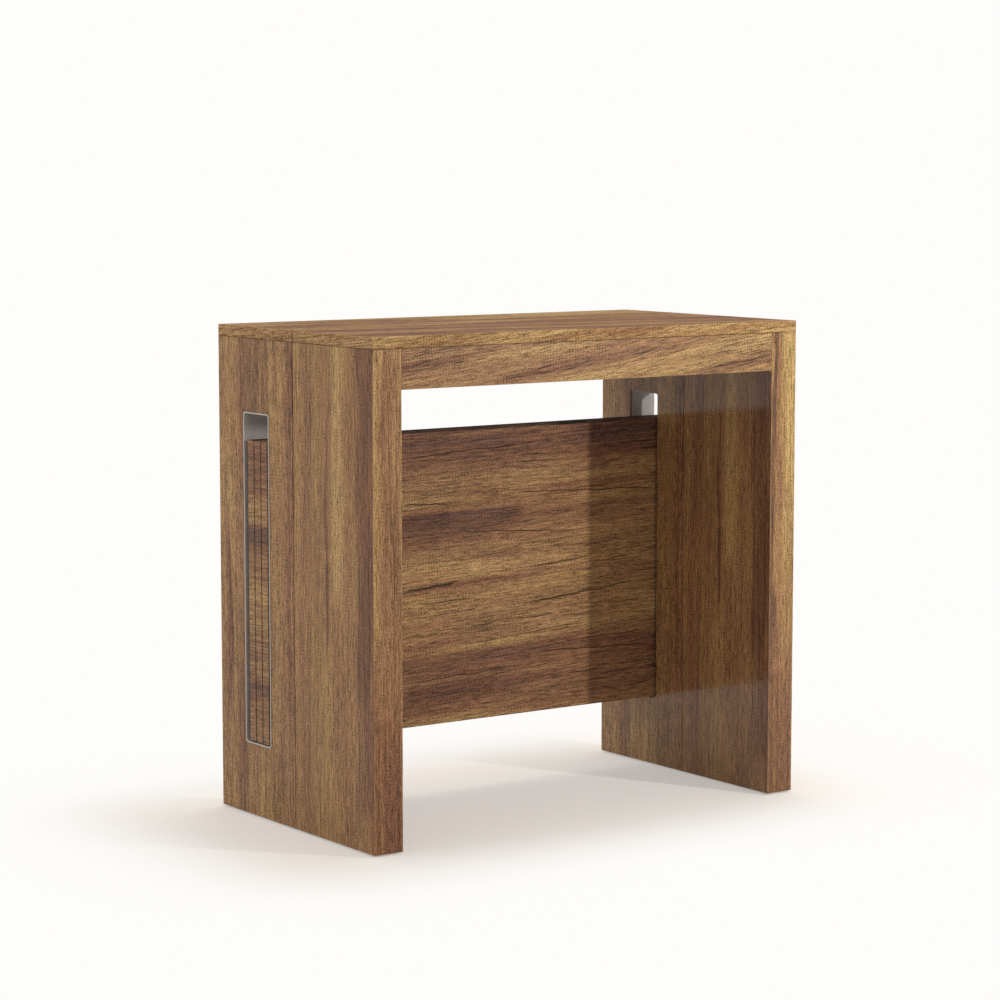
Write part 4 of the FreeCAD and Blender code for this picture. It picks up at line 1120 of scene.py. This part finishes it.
# %% [markdown]
# ## The world
# The table stands in a plain pale studio. The world round it lights it evenly from all sides. A
# bright white world would wash the shadows out, and a dim one would look grey in the picture. So the
# world is white to the camera, to gloss and through glass, and dimmer for the light that it gives.

# %% Make the world
WHITE = srgb(254, 253, 251)
AMBIENT = 0.55
AMBIENT_TINT = srgb(247, 249, 251)
DIRECT_RAYS = ("Is Camera Ray", "Is Glossy Ray", "Is Transmission Ray")


def seen_directly(r):
    """One for what the camera, gloss and glass see, nothing for the light that falls on surfaces."""
    path = r.node("ShaderNodeLightPath")
    return r.most(*(path.outputs[ray] for ray in DIRECT_RAYS))


world = bpy.data.worlds.new("studio")
bpy.context.scene.world = world
world.use_nodes = True
sky = Recipe(world.node_tree)
background = world.node_tree.nodes["Background"]
sky.feed(background.inputs["Color"], sky.mix(seen_directly(sky), AMBIENT_TINT, WHITE))
sky.feed(background.inputs["Strength"], sky.blend(seen_directly(sky), AMBIENT, FULL))
print("world lights with a strength of", AMBIENT)

# %% [markdown]
# ## The floor
# A soft shadow round the feet is what makes the table stand. Further out the floor has to melt into
# the white of the world, so it fades from a lit surface to a plain white glow. Anything close above
# it, such as the feet of the opened half, keeps its shadow, which ambient occlusion finds. From
# below, the floor is clear, so that the camera can look up at the rails.

# %% Make the floor
FLOOR_SIZE = 60.0
FLOOR_DROP = 0.0005
FLOOR_BEIGE = srgb(214, 204, 193)
FLOOR_ROUGHNESS = 0.9
FLOOR_LIFT = 0.36
SHADOW_MIDDLE = (-0.06, 0.0)
SHADOW_HALF = (0.42, 0.20)
CLEAR_AFTER = 0.30
NEAR_REACH, NEAR_RAYS = 0.5, 4
OPEN_LOW, OPEN_HIGH = 0.45, 0.90
SQUARE = 2.0


def shadow_distance(r):
    """How far a point of the floor lies outside the patch of shadow."""
    place = r.parts(r.node("ShaderNodeTexCoord").outputs["Object"])
    beyond = []
    for part, middle, half in zip(place, SHADOW_MIDDLE, SHADOW_HALF):
        outside = r.most(r.less(r.without_sign(r.less(part, middle)), half), 0.0)
        beyond.append(r.sum("POWER", outside, SQUARE))
    return r.sum("SQRT", r.add(*beyond))


def open_above(r):
    """One where nothing is close above the floor."""
    sight = r.node("ShaderNodeAmbientOcclusion", samples=NEAR_RAYS)
    sight.inputs["Distance"].default_value = NEAR_REACH
    return r.fade(sight.outputs["AO"], OPEN_LOW, OPEN_HIGH)


def pale_floor():
    """Make the floor's material."""
    material, r, shader = new_material("pale_floor")
    shader.inputs["Base Color"].default_value = FLOOR_BEIGE
    shader.inputs["Roughness"].default_value = FLOOR_ROUGHNESS
    shader.inputs["Specular IOR Level"].default_value = 0.0
    shader.inputs["Emission Color"].default_value = WHITE
    r.feed(shader.inputs["Emission Strength"], r.times(seen_directly(r), FLOOR_LIFT))
    far = r.fade(shadow_distance(r), 0.0, CLEAR_AFTER)
    white = r.times(r.least(far, open_above(r)), seen_directly(r))
    glow = r.node("ShaderNodeEmission", WHITE, FULL).outputs[0]
    upper = r.node("ShaderNodeMixShader", white, shader.outputs[0], glow).outputs[0]
    from_below = r.node("ShaderNodeNewGeometry").outputs["Backfacing"]
    clear = r.node("ShaderNodeBsdfTransparent").outputs[0]
    surface = r.node("ShaderNodeMixShader", from_below, upper, clear).outputs[0]
    r.feed(material.node_tree.nodes["Material Output"].inputs["Surface"], surface)
    return material


bpy.ops.object.select_all(action="DESELECT")
bpy.ops.mesh.primitive_plane_add(size=FLOOR_SIZE, location=(0, 0, -FLOOR_DROP))
floor = bpy.context.object
floor.name = "floor"
floor.data.materials.append(pale_floor())
print("floor is", FLOOR_SIZE, "m wide")

# %% [markdown]
# ## The lamps
# A large lamp gives soft shadows and a small one sharp shadows. The large one above the table lays
# the soft shadow round its feet, and another on the left lights the side of the legs. The small one
# on the right of the camera lights the front faces and throws the sharp upright shadow of the right
# leg on the leaf. A lamp looks down its own z axis, so it is turned by two angles to look at a point.

# %% Hang the lamps
Lamp = namedtuple("Lamp", "place aim wide tall power")
LAMPS = {
    "key_lamp": Lamp(place=(1.18, -2.0, 1.08), aim=(0.0, -0.2, 0.55), wide=0.06, tall=0.08, power=22.0),
    "top_lamp": Lamp(place=(0.5, 0.5, 3.0), aim=(0.0, 0.0, 0.4), wide=1.8, tall=1.8, power=31.0),
    "side_fill": Lamp(place=(-3.2, 0.6, 1.5), aim=(-0.4, 0.0, 0.5), wide=2.0, tall=2.0, power=16.0),
}


def hang(name, lamp):
    """Add a rectangular lamp that looks at a point."""
    data = bpy.data.lights.new(name, "AREA")
    data.shape = "RECTANGLE"
    data.size = lamp.wide
    data.size_y = lamp.tall
    data.energy = lamp.power
    across, deep, down = (goal - start for goal, start in zip(lamp.aim, lamp.place))
    tilt = math.atan2(math.hypot(across, deep), -down)
    hung = bpy.data.objects.new(name, data)
    hung.location = lamp.place
    hung.rotation_euler = (tilt, 0, math.atan2(-across, deep))
    bpy.context.scene.collection.objects.link(hung)


for name, lamp in LAMPS.items():
    hang(name, lamp)
bpy.context.scene.view_settings.view_transform = "Standard"
print("lamps:", len(bpy.data.lights))
